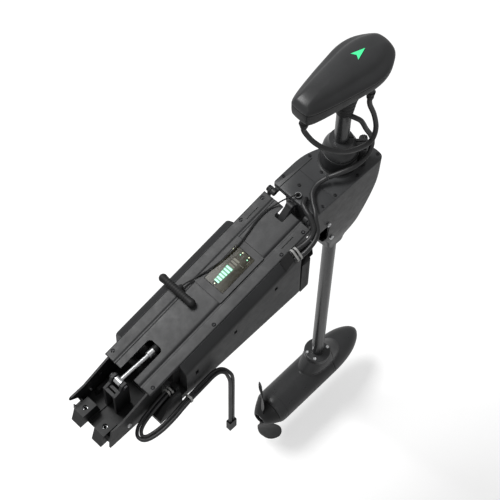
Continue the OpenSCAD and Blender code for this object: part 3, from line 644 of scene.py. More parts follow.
def make_top_cover():
    half = cover_profile()
    outline = half + [(-y, z) for y, z in reversed(half[1:-1])]
    x0, x1 = along(COVER_REAR), along(COVER_FRONT)
    stations = [(x0, 0.965), (x0 + 0.6, 0.99), (x0 + 2, 1.0), (x1 - 2, 1.0), (x1 - 0.6, 0.99), (x1, 0.965)]
    rings = []
    for x, k in stations:
        rings.append([ON_COVER @ Vector((x, y * (0.994 + 0.006 * k), z if z < 0 else z * k - (1 - k) * 30))
                      for y, z in outline])
    cover = loft("top_cover_shell", rings, COVER_PAINT)
    panel_x, well_x = along(PANEL_X), along(WINDOW_X - 8)
    slot = pane("slot", (x0 - 40, -21, x0 + 93, 21), 10, -30, 20)
    panel = pane("panel", (panel_x - 0.8, -PANEL_HALF - 0.8, panel_x + PANEL_LONG + 0.8, PANEL_HALF + 0.8), 4,
                 -0.02, 20)
    window = box("window", (well_x, -35, -30), (well_x + 121, 35, 20), None, ON_COVER)
    notch = pane("notch", (along(330), -13, along(430), 13), 4, -30, 20)
    wall_cut = box("wall_cut", (x0 - 5, -80, -20), (along(-68), 80, -3.6), None, ON_COVER)
    tools = [slot, panel, window, notch, wall_cut]
    for side in (-1, 1):
        for x in COVER_SCREWS:
            place_of_screw = ON_COVER @ Matrix.Translation((along(x), side * 64, 0))
            tools.append(lathe("hole", [(0, -20), (3.1, -20), (3.1, -1.2), (5.2, 0.2), (5.2, 5), (0, 5)],
                               None, place_of_screw, 24))
        tools.append(pane("vent", (along(285), side * 55 - 1.5, along(322), side * 55 + 1.5), 1.4, -1.6, 5))
    cut(cover, *tools)
    round_edges(cover, 0.7, 2, 40)
    stand_in(cover, "mount", "top_cover")
    screws = []
    for side in (-1, 1):
        for x in COVER_SCREWS:
            at = ON_COVER @ Matrix.Translation((along(x), side * 64, -1.4))
            screws.append(screw("s", at, 2.9, 2.4, BLACK_STEEL))
        head = turned(-209, side * 65.1, 32, "X", -90 * side)
        screws.append(screw("s", head, 6, 4, STEEL))
        screws.append(rod("s", 3, -9, 0.5, STEEL, head, 24))
    joined = join("cover_and_wall_screws", screws)
    stand_in(joined, "mount", "mount_screws")


def side_section(x, inset, foot):
    """Half cross-section of a side cover as (y, z), from its foot up to the cover's edge."""
    top = cover_z(x)
    return [(73.3, foot), (91, foot), (94.4 - inset, foot + 1.4), (97.1 - inset, 9), (98 - inset, 22),
            (97.4 - inset, top * 0.45), (96 - inset, top - 26), (94.2 - inset, top - 17.6 - inset),
            (91.5 - inset, top - 13.6 - inset), (84, top - 7.8 - inset), (75.6, top - 2.2 - inset),
            (73.3, top - 1.4 - inset)]


def make_side_cover(node, x0, x1, side, material, notches):
    stations = [x0, x0 + 1.2, x0 + 4, x0 + 12] + [x0 + (x1 - x0) * k / 12 for k in range(1, 12)] \
        + [x1 - 12, x1 - 4, x1 - 1.2, x1]
    insets = [3.4, 1.2, 0.2] + [0] * (len(stations) - 6) + [0.2, 1.2, 3.4]
    rings = [[Vector((x, side * y, z)) for y, z in side_section(x, i, 4)] for x, i in zip(stations, insets)]
    shell = loft(node + "_shell", rings)
    inner = loft("inner", [[Vector((x, side * (y if y < 74 else y - 3.4), z if k not in (0, 1, 2) else -8))
                            for k, (y, z) in enumerate(side_section(x, 3.0, 4))]
                           for x in (x0 + 4, (x0 + x1) / 2, x1 - 4)])
    tools = [inner]
    for x, z, wide, high in notches:
        tools.append(box("notch", (x, 88, z), (x + wide, 102, z + high), None,
                         Matrix.Diagonal((1, side, 1, 1))))
    shell.data.materials.append(material)
    cut(shell, *tools)
    round_edges(shell, 0.6, 2, 40)
    return stand_in(shell, "mount", node)


def make_bumpers():
    softened("end_bumpers", BUMPER, 3.0, 4)
    for i, x in enumerate((316, 322, 328)):
        rib = prism("bumper_rib_%d" % i, [(73.8, 8), (97.6, 8), (97.6, 120), (73.8, 126)], x, x + 1.6, BUMPER,
                    across(-1))
        round_edges(rib, 0.6, 2)
        place(rib, "mount")


def make_gas_spring():
    softened("gas_spring_rod", STEEL, 0.9)
    softened("gas_spring_cylinder", FRAME_PLASTIC, 1.2)
    gland = lathe("spring_end_cap", [(5.4, -18.6), (7.6, -18.6), (8.7, -17.4), (8.7, -1.2), (7.6, -0.2),
                                     (5.4, -0.2)],
                  STEEL, turned(-66, 0, SPRING_Z, "Y", 90), 48, True)
    place(gland, "gas_spring_body")


# ---------- display ----------

def make_display():
    x0, w0 = along(PANEL_X), along(WINDOW_X)

    def framed(name, margin, radius, low, high, material=None):
        """A pane as big as the window, with a margin added all round."""
        corners = (w0 - margin, -WINDOW_HALF - margin, w0 + WINDOW_LONG + margin, WINDOW_HALF + margin)
        return pane(name, corners, radius, low, high, material)

    bezel = pane("display_surround", (x0, -PANEL_HALF, x0 + PANEL_LONG, PANEL_HALF), 3.5, 0.02, 2.9,
                 COVER_PAINT)
    cut(bezel, framed("opening", 0, 2.5, -5, 10))
    round_edges(bezel, 0.6, 3, 40)
    stand_in(bezel, "mount", "display_bezel")

    at = ON_COVER @ Matrix.Translation((along(BUTTON[0]), BUTTON[1], 0))
    glass = framed("display_glass", -0.3, 2.3, 0.4, 2.5, WINDOW)
    cut(glass, rod("hole", 4.8, -5, 5, None, at, 40))
    round_edges(glass, 0.3, 2, 40)
    stand_in(glass, "mount", "display_window")
    trim = framed("display_trim", 0.9, 3.2, 2.5, 2.98, DARK_GROOVE)
    cut(trim, framed("opening", -0.5, 2.1, -5, 10))
    place(trim, "mount")

    halo, lit, unlit = [], [], []
    for i in range(9):
        x = along(134.4) + 8 * i
        if i < 6:
            half = 6.2 + 0.45 * i
            lit.append(pane("bar", (x, 2 - half, x + 3.9, 2 + half), 0.8, 2.5, 2.8, None, 3))
            behind = 1.9 if i else 0.3  # the first bar's glow stops short of the button
            halo.append(pane("halo", (x - behind, 1 - half, x + 6.1, 3 + half), 1.4, 2.4, 2.6, None, 3))
        else:
            unlit.append(pane("bar", (x, -6.5, x + 4.2, 10.5), 0.8, 2.4, 2.62, None, 3))
    lit = join("charge_bars_lit", lit, GREEN)
    stand_in(lit, "mount", "charge_bars")
    place(join("charge_bars_glow", halo, GREEN_HALO), "mount")
    place(join("charge_bars_unlit", unlit, UNLIT), "mount")
    groups = (("status_lights_white", WHITE_LIGHT, ((221, 4), (222, -14.5), (214.5, 27), (222, 26))),
              ("status_lights_green", GREEN, ((214.5, 5), (215, -15.5))))
    for name, material, places in groups:
        dots = [lathe("dot", [(0, 2.4), (1.5, 2.4), (1.4, 2.75), (0, 2.85)], None,
                      ON_COVER @ Matrix.Translation((along(x), y, 0)), 20) for x, y in places]
        place(join(name, dots, material), "mount")
    marks = []
    for x, y, long, wide in ((140, 25.4, 62, 0.7), (150, 20, 34, 0.7), (206, 12, 12, 0.6), (206, -4, 12, 0.6),
                             (206, -22, 12, 0.6), (196, -2, 0.7, 14), (196, -22, 0.7, 12)):
        marks.append(box("mark", (along(x), y, 2.4), (along(x) + long, y + wide, 2.58), None, ON_COVER))
    place(join("window_marks", marks, UNLIT), "mount")

    button = lathe("power_button_cap", [(0, -1.8), (4.2, -1.8), (4.2, 2.1), (3.8, 2.6), (3.3, 2.6),
                                        (2.9, 2.3), (0, 2.2)],
                   BEZEL, at, 48)
    stand_in(button, "power_button_body", "power_button")
    mark = lathe("power_button_mark", [(0, 2.15), (1.5, 2.2), (1.4, 2.45), (0, 2.5)], WHITE_LIGHT, at, 24)
    place(mark, "power_button_body")


# ---------- handle ----------

GRIP_STATIONS = 120


def make_handle():
    z = cover_z(58) + 13.6
    profile = []
    half = 54.5
    for i in range(GRIP_STATIONS + 1):
        y = -half + 2 * half * i / GRIP_STATIONS
        edge = min(1.0, (half - abs(y)) / 9)
        r = 9.4 * math.sqrt(max(0.0, 1 - (1 - edge) ** 2))
        r += 0.9 * math.exp(-((abs(y) - 45) / 6) ** 2)
        if abs(y) < 37:
            r -= 0.55 * (0.5 - 0.5 * math.cos(2 * math.pi * y / 6.2)) * min(1, (37 - abs(y)) / 5)
        profile.append((max(r, 0), y))
    profile[0] = (0, -half)
    profile[-1] = (0, half)
    grip = lathe("pull_handle_grip", profile, RUBBER, turned(58, 50, z, "X", -90), 40)
    stem = lathe("pull_handle_stem", [(0, 3), (7.6, 3), (7.2, 9), (6.0, 12.5), (5.2, 16), (2.1, 16),
                                      (2.1, 12), (0, 12)],
                 RUBBER, turned(58, 50, z, "Y", 90), 32)
    stand_in(grip, "pull_handle_body", "pull_handle")
    place(stem, "pull_handle_body")


# ---------- steering housing ----------

HOUSING = [
    (-120, [(500, -28), (540, -30), (552, -22), (557, -12), (558, 0), (555, 10), (549, 19), (540, 27),
            (520, 30), (500, 28), (495, 10), (495, -10)]),
    (-90, [(485, -34), (545, -34), (556, -26), (560, -14), (560, 0), (556, 14), (548, 24), (538, 32),
           (515, 34), (485, 34), (480, 15), (480, -15)]),
    (0, [(452, -52), (560, -56), (574, -46), (576, -22), (572, -4), (562, 14), (545, 32), (520, 44),
         (490, 50), (452, 50), (450, 20), (450, -20)]),
    (120, [(382, -62), (594, -66), (606, -58), (606, -30), (594, -12), (572, 14), (545, 38), (513, 56),
           (474, 64), (382, 62), (381, 20), (381, -20)]),
    (220, [(382, -66), (600, -68), (612, -60), (612, -30), (600, -12), (578, 14), (550, 40), (513, 58),
           (474, 69), (382, 66), (381, 20), (381, -20)])]
HOUSING_BOLTS = ((432, -66, 132), (458, -58, 30))
HOUSING_CORNERS = [7, 9, 12, 14, 30, 40, 60, 60, 30, 7, 12, 12]


def rounded_corners(outline, radii, steps=5):
    """A closed outline with each corner rounded by a curve, always with the same number of points."""
    made = []
    count = len(outline)
    for i in range(count):
        v, before, after = (Vector(outline[k % count]) for k in (i, i - 1, i + 1))
        a = v + (before - v) * min(0.48, radii[i] / (before - v).length)
        b = v + (after - v) * min(0.48, radii[i] / (after - v).length)
        for k in range(steps + 1):
            t = k / steps
            made.append((1 - t) ** 2 * a + 2 * t * (1 - t) * v + t * t * b)
    return made


def moved_in(p, inset, z):
    """A point of the housing's outline, moved in towards its middle, at a height."""
    return Vector((500 + (p.x - 500) * (1 - inset / 110), p.y * (1 - inset / 64), z))


def housing_loft(name, inset, low, high, material=None):
    """The housing's skin between two of its heights, moved in by an inset."""
    rings = []
    columns = [[Vector((x, y, z)) for x, y in rounded_corners(outline, HOUSING_CORNERS)]
               for z, outline in HOUSING]
    for i in range(len(HOUSING) - 1):
        for k in range(10):
            rings.append([curve_point([c[j] for c in columns], i, k / 10) for j in range(len(columns[0]))])
    rings.append([c.copy() for c in columns[-1]])
    rings = [ring for ring in rings if low <= ring[0].z <= high]
    shrunk = [[moved_in(p, inset, p.z) for p in ring] for ring in rings]
    return loft(name, shrunk, material)


def make_housing():
    body = housing_loft("steering_housing_shell", 0, -120, 220, HOUSING_PLASTIC)
    inside = housing_loft("inside", 6, -70, 220)
    cut(inside, box("grown_notch", (350, 8, 26), (428, 96, 226)))
    for v in inside.data.vertices:
        if v.co.z > 0.2199:
            v.co.z += 0.002
    tools = [inside, box("notch", (350, 12, 30), (424, 96, 214)),
             prism("recess", rounded_rectangle(408, -76, 444, -40, 6), 40, 116),
             rod("bore", 24.5, -130, 0, None, SHAFT, 48),
             rod("latch_bore", 6.2, -10, 50, None, turned(375, -34, 150, "Y", 90), 32)]
    for x, _, z in HOUSING_BOLTS:
        tools.append(rod("bolt_hole", 3.1, -30, 12, None, turned(x, -56, z, "X", 90), 20))
    cut(body, *tools)
    round_edges(body, 1.4, 3, 42)
    stand_in(body, "steer_housing", "steering_housing")

    # hinge knuckles and the spring's lever
    parts = []
    for side in (-1, 1):
        parts.append(lathe("knuckle", [(5.1, 46), (8.4, 46), (8.4, 57), (5.1, 57)], None,
                           turned(HINGE_X, 0, HINGE_Z, "X", -90 * side), 40, True))
        web = box("web", (HINGE_X, 46.2, 211), (427, 56.8, 219), None, Matrix.Diagonal((1, side, 1, 1)))
        cut(web, rod("bore", 7, 40, 60, None, turned(HINGE_X, 0, HINGE_Z, "X", -90 * side), 32))
        parts.append(web)
    parts.append(lathe("knuckle", [(5.1, -9), (8.4, -9), (8.4, 9), (5.1, 9)], None,
                       turned(HINGE_X, 0, HINGE_Z, "X", 90), 40, True))
    ex, ez = HINGE_X - LEVER_REACH, HINGE_Z - LEVER_REACH
    parts.append(lathe("eye", [(4.05, -9), (10, -9), (10, 9), (4.05, 9)], None, turned(ex, 0, ez, "X", 90),
                       40, True))
    reach = LEVER_REACH * math.sqrt(2)
    lever = box("lever", (-reach, -8, -7), (0, 8, 7), None, turned(HINGE_X, 0, HINGE_Z, "Y", -45))
    cut(lever, rod("b", 7.5, -12, 12, None, turned(ex, 0, ez, "X", 90), 32),
        rod("b", 6.5, -12, 12, None, turned(HINGE_X, 0, HINGE_Z, "X", 90), 32))
    parts.append(lever)
    parts.append(box("root", (376, -9, 190), (385, 9, 219)))
    for piece in parts:
        round_edges(piece, 0.8, 2)
    hinge = join("hinge_knuckles_and_lever", parts, BRACKET_PAINT)
    place(hinge, "steer_housing")

    softened("latch_bolt", STEEL, 0.6)
    softened("cord_eyelet", BEZEL, 0.6)
    low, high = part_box("cord_eyelet")
    middle = (low + high) / 2 / MM
    wide = (high.y - low.y) / 2 / MM
    rim = lathe("eyelet_rim", [(wide - 2.1, -0.5), (wide - 0.9, -0.5), (wide - 0.9, 0.15), (wide - 1.2, 0.4),
                               (wide - 1.8, 0.4), (wide - 2.1, 0.15)],
                STEEL, Matrix.Translation((middle.x, middle.y, high.z / MM)), 40, True)
    place(rim, "steer_housing")
    bolts = [screw("b", turned(*at, "X", 90), 6, 4, STEEL) for at in HOUSING_BOLTS]
    bolts += [rod("b", 2.9, -10, 1, STEEL, turned(*at, "X", 90), 24) for at in HOUSING_BOLTS]
    bolts = join("housing_bolts_hex", bolts)
    stand_in(bolts, "steer_housing", "housing_bolts")


LID_SCREWS = [(409, 60), (491, 55), (417, 18), (478, 6), (413, -58), (455, -58), (529, -58), (604, -52),
              (418, -18)]


def make_lid():
    top = [Vector((x, y, 0)) for x, y in rounded_corners(HOUSING[-1][1], HOUSING_CORNERS)]
    rings = []
    for z, shrink in ((220.25, 0), (226.2, 0), (227.4, 0.5), (228, 1.5)):
        rings.append([moved_in(p, shrink, z) for p in top])
    plate = loft("housing_lid_plate", rings, LID_PLASTIC)
    tools = [prism("groove", rounded_rectangle(370, 45, 490, 47.4, 1.1), 226.4, 232),
             prism("seam", rounded_rectangle(446, -75, 447.6, 44, 0.7), 226.9, 232),
             rod("bore", 26, 210, 240, None, SHAFT, 48),
             rod("hole", 2.6, 219, 235, None, Matrix.Translation((394, 0, 0)), 24)]
    for x, y in LID_SCREWS:
        tools.append(lathe("hole", [(0, 215), (2.1, 215), (2.1, 227.2), (4.6, 227.2), (4.6, 235), (0, 235)],
                           None, Matrix.Translation((x, y, 0)), 24))
    cut(plate, *tools)
    shade(plate)
    stand_in(plate, "steer_housing", "housing_lid")

    turret = lathe("shaft_turret", [(30.4, 234.5), (30.4, 277.9), (39.5, 277.9), (41.6, 277.2), (42.6, 275.6),
                                    (43, 273), (43, 240), (43.6, 234), (45.6, 230), (49.5, 227.9),
                                    (26, 227.9), (26, 234.5)],
                   HOUSING_PLASTIC, SHAFT, 96, True)
    place(turret, "steer_housing")
    ribs = []
    for k in range(11):
        a = math.radians(-40 + 9 * k)
        rib = box("rib", (42.2, -1.3, 235), (44.9, 1.3, 271), None, SHAFT @ Matrix.Rotation(a, 4, "Z"))
        round_edges(rib, 0.7, 2)
        ribs.append(rib)
    place(join("turret_ribs", ribs, HOUSING_PLASTIC), "steer_housing")
    swell = prism("turret_shoulder", rounded_rectangle(20, -21, 60, 17, 9), 228.1, 255, HOUSING_PLASTIC,
                  SHAFT @ Matrix.Rotation(KNOB_ANGLE, 4, "Z"))
    cut(swell, rod("bore", 42.5, 220, 260, None, SHAFT, 96))
    round_edges(swell, 3, 4)
    place(swell, "steer_housing")
    band = lathe("turret_band", [(42.8, 229.9), (44.9, 230.4), (45.2, 232.8), (42.8, 233.2)], DARK_GROOVE,
                 SHAFT, 96, True)
    place(band, "steer_housing")

    screws = [screw("s", Matrix.Translation((x, y, LID_Z - 0.6)), 3.6, 2.4, BLACK_STEEL)
              for x, y in LID_SCREWS]
    screws += [rod("s", 2.0, 220.4, 227.6, BLACK_STEEL, Matrix.Translation((x, y, 0)), 20)
               for x, y in LID_SCREWS]
    screws = join("lid_screws_torx", screws)
    stand_in(screws, "steer_housing", "lid_screws")


def make_collar():
    z0 = TURRET_TOP + 3
    bore = SHAFT_R + 0.05
    dome = lathe("depth_collar_dome", [(bore, z0), (40.2, z0), (41, z0 + 0.8), (41, z0 + 5), (40.6, z0 + 8),
                                       (39, z0 + 13.5), (36.8, z0 + 18.5), (34, z0 + 23.5), (31.6, z0 + 28),
                                       (30, z0 + 32), (28.6, z0 + 37), (28, z0 + 39.2), (27.2, z0 + 40),
                                       (bore, z0 + 40)], HEAD_PLASTIC, SHAFT, 96, True)
    turn = SHAFT @ Matrix.Rotation(KNOB_ANGLE, 4, "Z")
    ears = prism("ears", rounded_rectangle(24, -15, 62, 8, 5), z0 + 0.2, z0 + 22, HEAD_PLASTIC, turn)
    at = turn @ turned(53, 0, z0 + 10, "X", -90)
    bolt = rod("bolt", 3.1, -20, 20, None, at, 24)
    shaft = rod("shaft", bore + 6, z0 - 5, z0 + 60, None, SHAFT, 48)
    slits = [box("slit", (14, -1, z0 - 5), (80, 1, z0 + 60), None, turn) for _ in range(2)]
    cut(dome, slits[0])
    cut(ears, shaft, slits[1], bolt)
    round_edges(ears, 1.4, 3)
    shade(dome)
    stand_in(dome, "steer_sleeve", "depth_collar")
    place(ears, "steer_sleeve")

    profile = [(0, 8.4), (7.4, 8.4), (9.0, 9.2), (9.5, 10.8), (9.5, 18.2), (8.8, 19.8), (7.2, 20.4),
               (0, 20.4)]
    knob = lathe("collar_knob_grip", profile, RUBBER, Matrix.Identity(4), 80)
    for v in knob.data.vertices:
        p = v.co / MM
        r = math.hypot(p.x, p.y)
        if r > 7.2:
            k = 1 + 0.055 * math.cos(10 * math.atan2(p.y, p.x))
            p = Vector((p.x * k, p.y * k, p.z))
        v.co = (at @ p) * MM
    shade(knob, 40)
    stud = rod("collar_stud", 2.9, -8, 8.6, STEEL, at, 24)
    stand_in(knob, "knob", "collar_knob")
    place(stud, "knob")


# ---------- steering head ----------

HEAD_REAR, HEAD_LONG, HEAD_MIDDLE = 376, 279, 520
HEAD_HALF = [(HEAD_REAR, 15), (382, 26), (411, 36), (462, 47), (512, 56), (556, 62.5), (590, 60), (618, 49),
             (641, 32), (647.5, 13)]


def head_outline():
    """The head's plan outline as a dense smooth curve, going round once."""
    loop = [Vector((x, -y)) for x, y in HEAD_HALF] + [Vector((x, y)) for x, y in reversed(HEAD_HALF)]
    count = len(loop)
    made = []
    for i in range(count):
        four = [loop[(i + k - 1) % count] for k in range(4)]
        made += [curve_point(four, 1, k / 6) for k in range(6)]
    return made


OUTLINE = head_outline()


def head_ring(sx, sy, rear, front):
    """The outline shrunk about the head's middle, on a plane that slopes from rear to front height."""
    ring = []
    for p in OUTLINE:
        x, y = HEAD_MIDDLE + (p.x - HEAD_MIDDLE) * sx, p.y * sy
        ring.append(Vector((x, y, rear + (front - rear) * (x - HEAD_REAR) / HEAD_LONG)))
    return ring


def ring_series(rows, steps=4):
    """Rings along a smooth curve through rows of (sx, sy, rear, front)."""
    return [head_ring(*row) for row in smooth_path(rows, steps)]


def make_head():
    base = loft("head_base_shell", ring_series([(0.90, 0.80, 548.6, 540.0), (0.935, 0.85, 549.2, 540.4),
                                                (0.962, 0.90, 553.5, 542.6), (0.985, 0.95, 562, 546.5),
                                                (0.996, 0.985, 577, 555), (0.998, 0.995, 592.3, 564.4)]),
                HEAD_UNDER)
    base_in = loft("inner", ring_series([(0.88, 0.77, 553, 545), (0.95, 0.90, 563, 551),
                                         (0.965, 0.94, 600, 572)], 2))
    cut(base, base_in, rod("bore", 17.6, 500, 570, None, SHAFT, 48))
    round_edges(base, 0.5, 2, 50)
    stand_in(base, "shaft", "head_base")

    side = [(0.997, 0.994, 594.2, 566.2), (1.0, 1.0, 595.6, 567.6), (0.999, 0.993, 597.6, 569.8),
            (0.993, 0.955, 601.6, 574.4), (0.982, 0.88, 605.8, 579), (0.970, 0.80, 609.2, 583),
            (0.958, 0.735, 611.8, 586.2), (0.948, 0.70, 613.2, 588.2), (0.934, 0.67, 614.6, 590.2),
            (0.90, 0.625, 617.2, 594.2), (0.84, 0.56, 620.2, 599.4), (0.74, 0.47, 622.8, 603.8),
            (0.60, 0.36, 624.9, 607.4), (0.42, 0.24, 626.2, 609.8), (0.22, 0.12, 626.9, 610.7)]
    cover = loft("head_cover_shell", [head_ring(*row) for row in side], HEAD_PLASTIC)
    cover_in = loft("inner", ring_series([(0.967, 0.94, 588, 560), (0.962, 0.90, 598, 570),
                                          (0.94, 0.70, 607, 580), (0.84, 0.5, 613, 592),
                                          (0.6, 0.34, 618, 600)], 2))
    cut(cover, cover_in)
    shade(cover, 40)
    stand_in(cover, "shaft", "head_cover")

    gasket = loft("head_seam_gasket", [head_ring(0.985, 0.978, 592.0, 564.0),
                                       head_ring(0.985, 0.978, 594.6, 566.6)], BUMPER)
    place(gasket, "shaft")

    slope = (611 - 627) / HEAD_LONG
    arrow = prism("direction_arrow_light", [(575.5, 0), (543, 10.8), (549.5, 0), (543, -10.8)], 0, 0.7,
                  ARROW_GREEN, Matrix(((1, 0, 0, 0), (0, 1, 0, 0), (slope, 0, 1, 627.3 - slope * HEAD_REAR),
                                       (0, 0, 0, 1))))
    stand_in(arrow, "shaft", "direction_arrow")

    neck_rows = [(17.3, 430), (19.6, 430), (20.2, 431), (20.4, 435.4), (19.8, 436.4), (21.6, 442),
                 (21.8, 446), (21.2, 447.2), (23.2, 456), (23.4, 460), (22.8, 461.2), (25.2, 472),
                 (25.4, 476), (24.8, 477.2), (28.2, 489), (28.6, 493), (28.1, 494.2), (32.6, 507),
                 (36.6, 519), (39.4, 530), (41, 541.4), (17.3, 541.4)]
    neck = lathe("head_neck_boot", neck_rows, RUBBER, SHAFT, 72, True)
    stand_in(neck, "shaft", "head_neck")

    glands = []
    for x, y, r, low, high, nut in ((396, 0, 9, 512, 547.5, 522), (563, -39, 8.5, 486, 542.4, 504)):
        at = Matrix.Translation((x, y, 0))
        glands.append(lathe("gland", [(0, low), (r - 1.8, low), (r - 0.6, low + 1.4), (r, low + 5),
                                      (r, low + 12), (r - 0.9, low + 13), (r - 0.9, low + 14.5),
                                      (r, low + 15.5), (r, high), (0, high)],
                            RUBBER, at, 40))
        glands.append(lathe("gland", [(0, nut), (r + 1.4, nut), (r + 2.4, nut + 1), (r + 2.4, nut + 6),
                                      (r + 1.4, nut + 7), (0, nut + 7)], HEAD_UNDER, at, 8))
    glands = join("head_cable_glands", glands)
    stand_in(glands, "shaft", "head_glands")


# ---------- shaft and motor ----------

def make_shaft():
    composite = lathe("shaft_composite_tube", [(14, -816), (SHAFT_R, -816), (SHAFT_R, 556), (14, 556)],
                      SHAFT_COMPOSITE, SHAFT, 72,
                  True)
    stand_in(composite, "shaft", "shaft_tube")


SADDLE = [(455, 640, 36, MOTOR_Z + 24), (466, 610, 40, MOTOR_Z + 52), (482, 585, 39, MOTOR_Z + 76),
          (495, 565, 35, MOTOR_Z + 98)]


def saddle_rings():
    """Ovals from the barrel's back up to the round flange under the shaft."""
    rings = []
    for x0, x1, half, z in smooth_path(SADDLE, 5):
        ring = []
        for k in range(72):
            a = 2 * math.pi * k / 72
            ring.append(Vector(((x0 + x1) / 2 + (x1 - x0) / 2 * math.cos(a), half * math.sin(a), z)))
        rings.append(ring)
    return rings


NOSE = [(51.9, 0), (51.4, 22), (49.6, 44), (46.4, 66), (41.6, 86), (36, 101), (29.6, 114), (22.8, 124.5),
        (15.4, 132.5), (8, 137.8), (2.5, 139.8)]


MELT_VOXEL = 1.5


def melt(piece):
    """Joins overlapping castings into one skin, with soft fillets where they meet."""
    mod = piece.modifiers.new("remesh", "REMESH")
    mod.mode = "VOXEL"
    mod.voxel_size = MELT_VOXEL * MM
    smooth = piece.modifiers.new("smooth", "SMOOTH")
    smooth.iterations = 6
    smooth.factor = 0.5
    settle(piece)


def make_motor():
    nose_profile = [(0, 0)] + [tuple(p) for p in smooth_path(NOSE, 3)[:-1]] + [(0, 140)]
    barrel = lathe("barrel", [(0, 334.2), (45.6, 334.2), (47.2, 335), (49, 338), (50.6, 343), (51.6, 350),
                              (52, 358), (52, 559.4), (0, 559.4)], None, MOTOR, 128)
    saddle = loft("saddle", saddle_rings())
    flange = lathe("flange", [(0, -830), (36.2, -830), (36.6, -822), (37.4, -816), (38, -812), (38, -799.2),
                              (37, -798.2), (0, -798.2)],
                   None, SHAFT, 96)
    nose = lathe("nose", nose_profile, None, Matrix.Translation((560, 0, 0)) @ MOTOR, 128)
    body = join("motor_body", [barrel, saddle, flange])
    melt(body)
    tools = [rod("inside", 47, 348, 600, None, MOTOR, 96),
             rod("rear_bore", 14, 320, 350, None, MOTOR, 48),
             box("front", (559.4, -90, MOTOR_Z - 90), (700, 90, MOTOR_Z + 140)),
             rod("shaft_bore", SHAFT_R + 0.05, -817, -780, None, SHAFT, 64),
             rod("wire_way", 12, -870, -800, None, SHAFT, 48)]
    body.data.materials.append(MOTOR_PAINT)
    cut(body, *tools)
    for x in (362, 470, 552):
        groove = lathe("groove", [(51.2, x), (60, x), (60, x + 1.5), (51.2, x + 1.5)], None, MOTOR, 128, True)
        if x == 470:
            cut(groove, box("cut", (400, -60, MOTOR_Z + 20), (600, 60, MOTOR_Z + 80)))
        cut(body, groove)
    shade(body, 38)
    body.name = "motor_shell_cast"
    stand_in(body, "shaft", "motor_shell")

    nose.data.materials.append(MOTOR_PAINT)
    hollow = lathe("hollow", [(0, 559), (44, 559), (22, 659), (0, 659)], None, MOTOR, 64)
    cut(nose, hollow)
    upper = loft("saddle_front", saddle_rings(), MOTOR_PAINT)
    cut(upper, box("rear", (400, -90, -900), (560.1, 90, -700)),
        lathe("inside", [(0, 500), (45, 500), (30, 640), (0, 640)], None, MOTOR, 64))
    nose_all = join("motor_nose_cast", [nose, upper], MOTOR_PAINT)
    melt(nose_all)
    coat(nose_all.data, MOTOR_PAINT)
    cut(nose_all, box("rear", (500, -90, MOTOR_Z - 90), (560.0, 90, MOTOR_Z + 140)))
    shade(nose_all, 38)
    stand_in(nose_all, "shaft", "motor_nose")

    screws = []
    for a in (30, 150, 210, 330):
        at = SHAFT @ Matrix.Rotation(math.radians(a), 4, "Z") @ Matrix.Translation((30, 0, -798))
        screws.append(screw("s", at, 4.6, 3, STEEL))
    screws = join("neck_flange_screws", screws)
    stand_in(screws, "shaft", "neck_screws")


BLADE_ROWS = [(19, 13, -7, 6.0), (30, 15, -7.6, 5.0), (42, 17, -8, 4.4), (53, 19.5, -8, 4), (66, 28, -4, 3.6),
              (85, 34, 0, 3.2), (108, 35, 0, 2.8), (128, 30, -2, 2.4), (138, 22, -3.4, 2.0),
              (143.4, 14.5, -5, 1.6), (145.8, 8, -6, 1.0)]


def make_propeller():
    pieces = []
    for turn in (-10, 170):
        at = Matrix.Translation((322, 0, MOTOR_Z)) @ Matrix.Rotation(math.radians(turn), 4, "X")
        rings = []
        for radius, half, shift, thick in smooth_path(BLADE_ROWS, 5):
            a = math.radians(43 + 0.1 * (radius - 20))
            ring = []
            for k in range(28):
                t = 2 * math.pi * k / 28
                u = math.cos(t)
                w = math.sin(t) * thick / 2 * (1 - 0.35 * u) - 0.05 * half * (u * u - 0.5)
                ring.append(at @ Vector((shift + u * half * math.cos(a) - w * math.sin(a),
                                         u * half * math.sin(a) + w * math.cos(a), radius)))
            rings.append(ring)
        pieces.append(loft("blade", rings, PROP_PLASTIC))
    hub = lathe("hub", [(17, 295.6), (17.6, 295), (19.8, 295), (22.4, 296.6), (27, 302), (32.6, 309.8),
                        (37.6, 317.5), (41.6, 324.5), (44.4, 330), (45.5, 332.6), (44.8, 333.4),
                        (6.05, 333.4), (6.05, 317), (17, 317)],
                PROP_PLASTIC, MOTOR, 80, True)
    pieces.append(hub)
    for k in range(6):
        a = 2 * math.pi * k / 6
        rib = box("rib", (6.05, -1, 296.8), (17.4, 1, 317.4), None,
                  MOTOR @ Matrix.Rotation(a, 4, "Z"))
        cut(rib, rod("nut_room", 10.6, 290, 317.2, None, MOTOR, 32))
        rib.data.materials.append(PROP_PLASTIC)
        pieces.append(rib)
    propeller = join("propeller_moulding", pieces, PROP_PLASTIC)
    shade(propeller, 40)
    stand_in(propeller, "propeller_body", "propeller")
    softened("propeller_nut", STEEL, 0.6)


# ---------- harness ----------

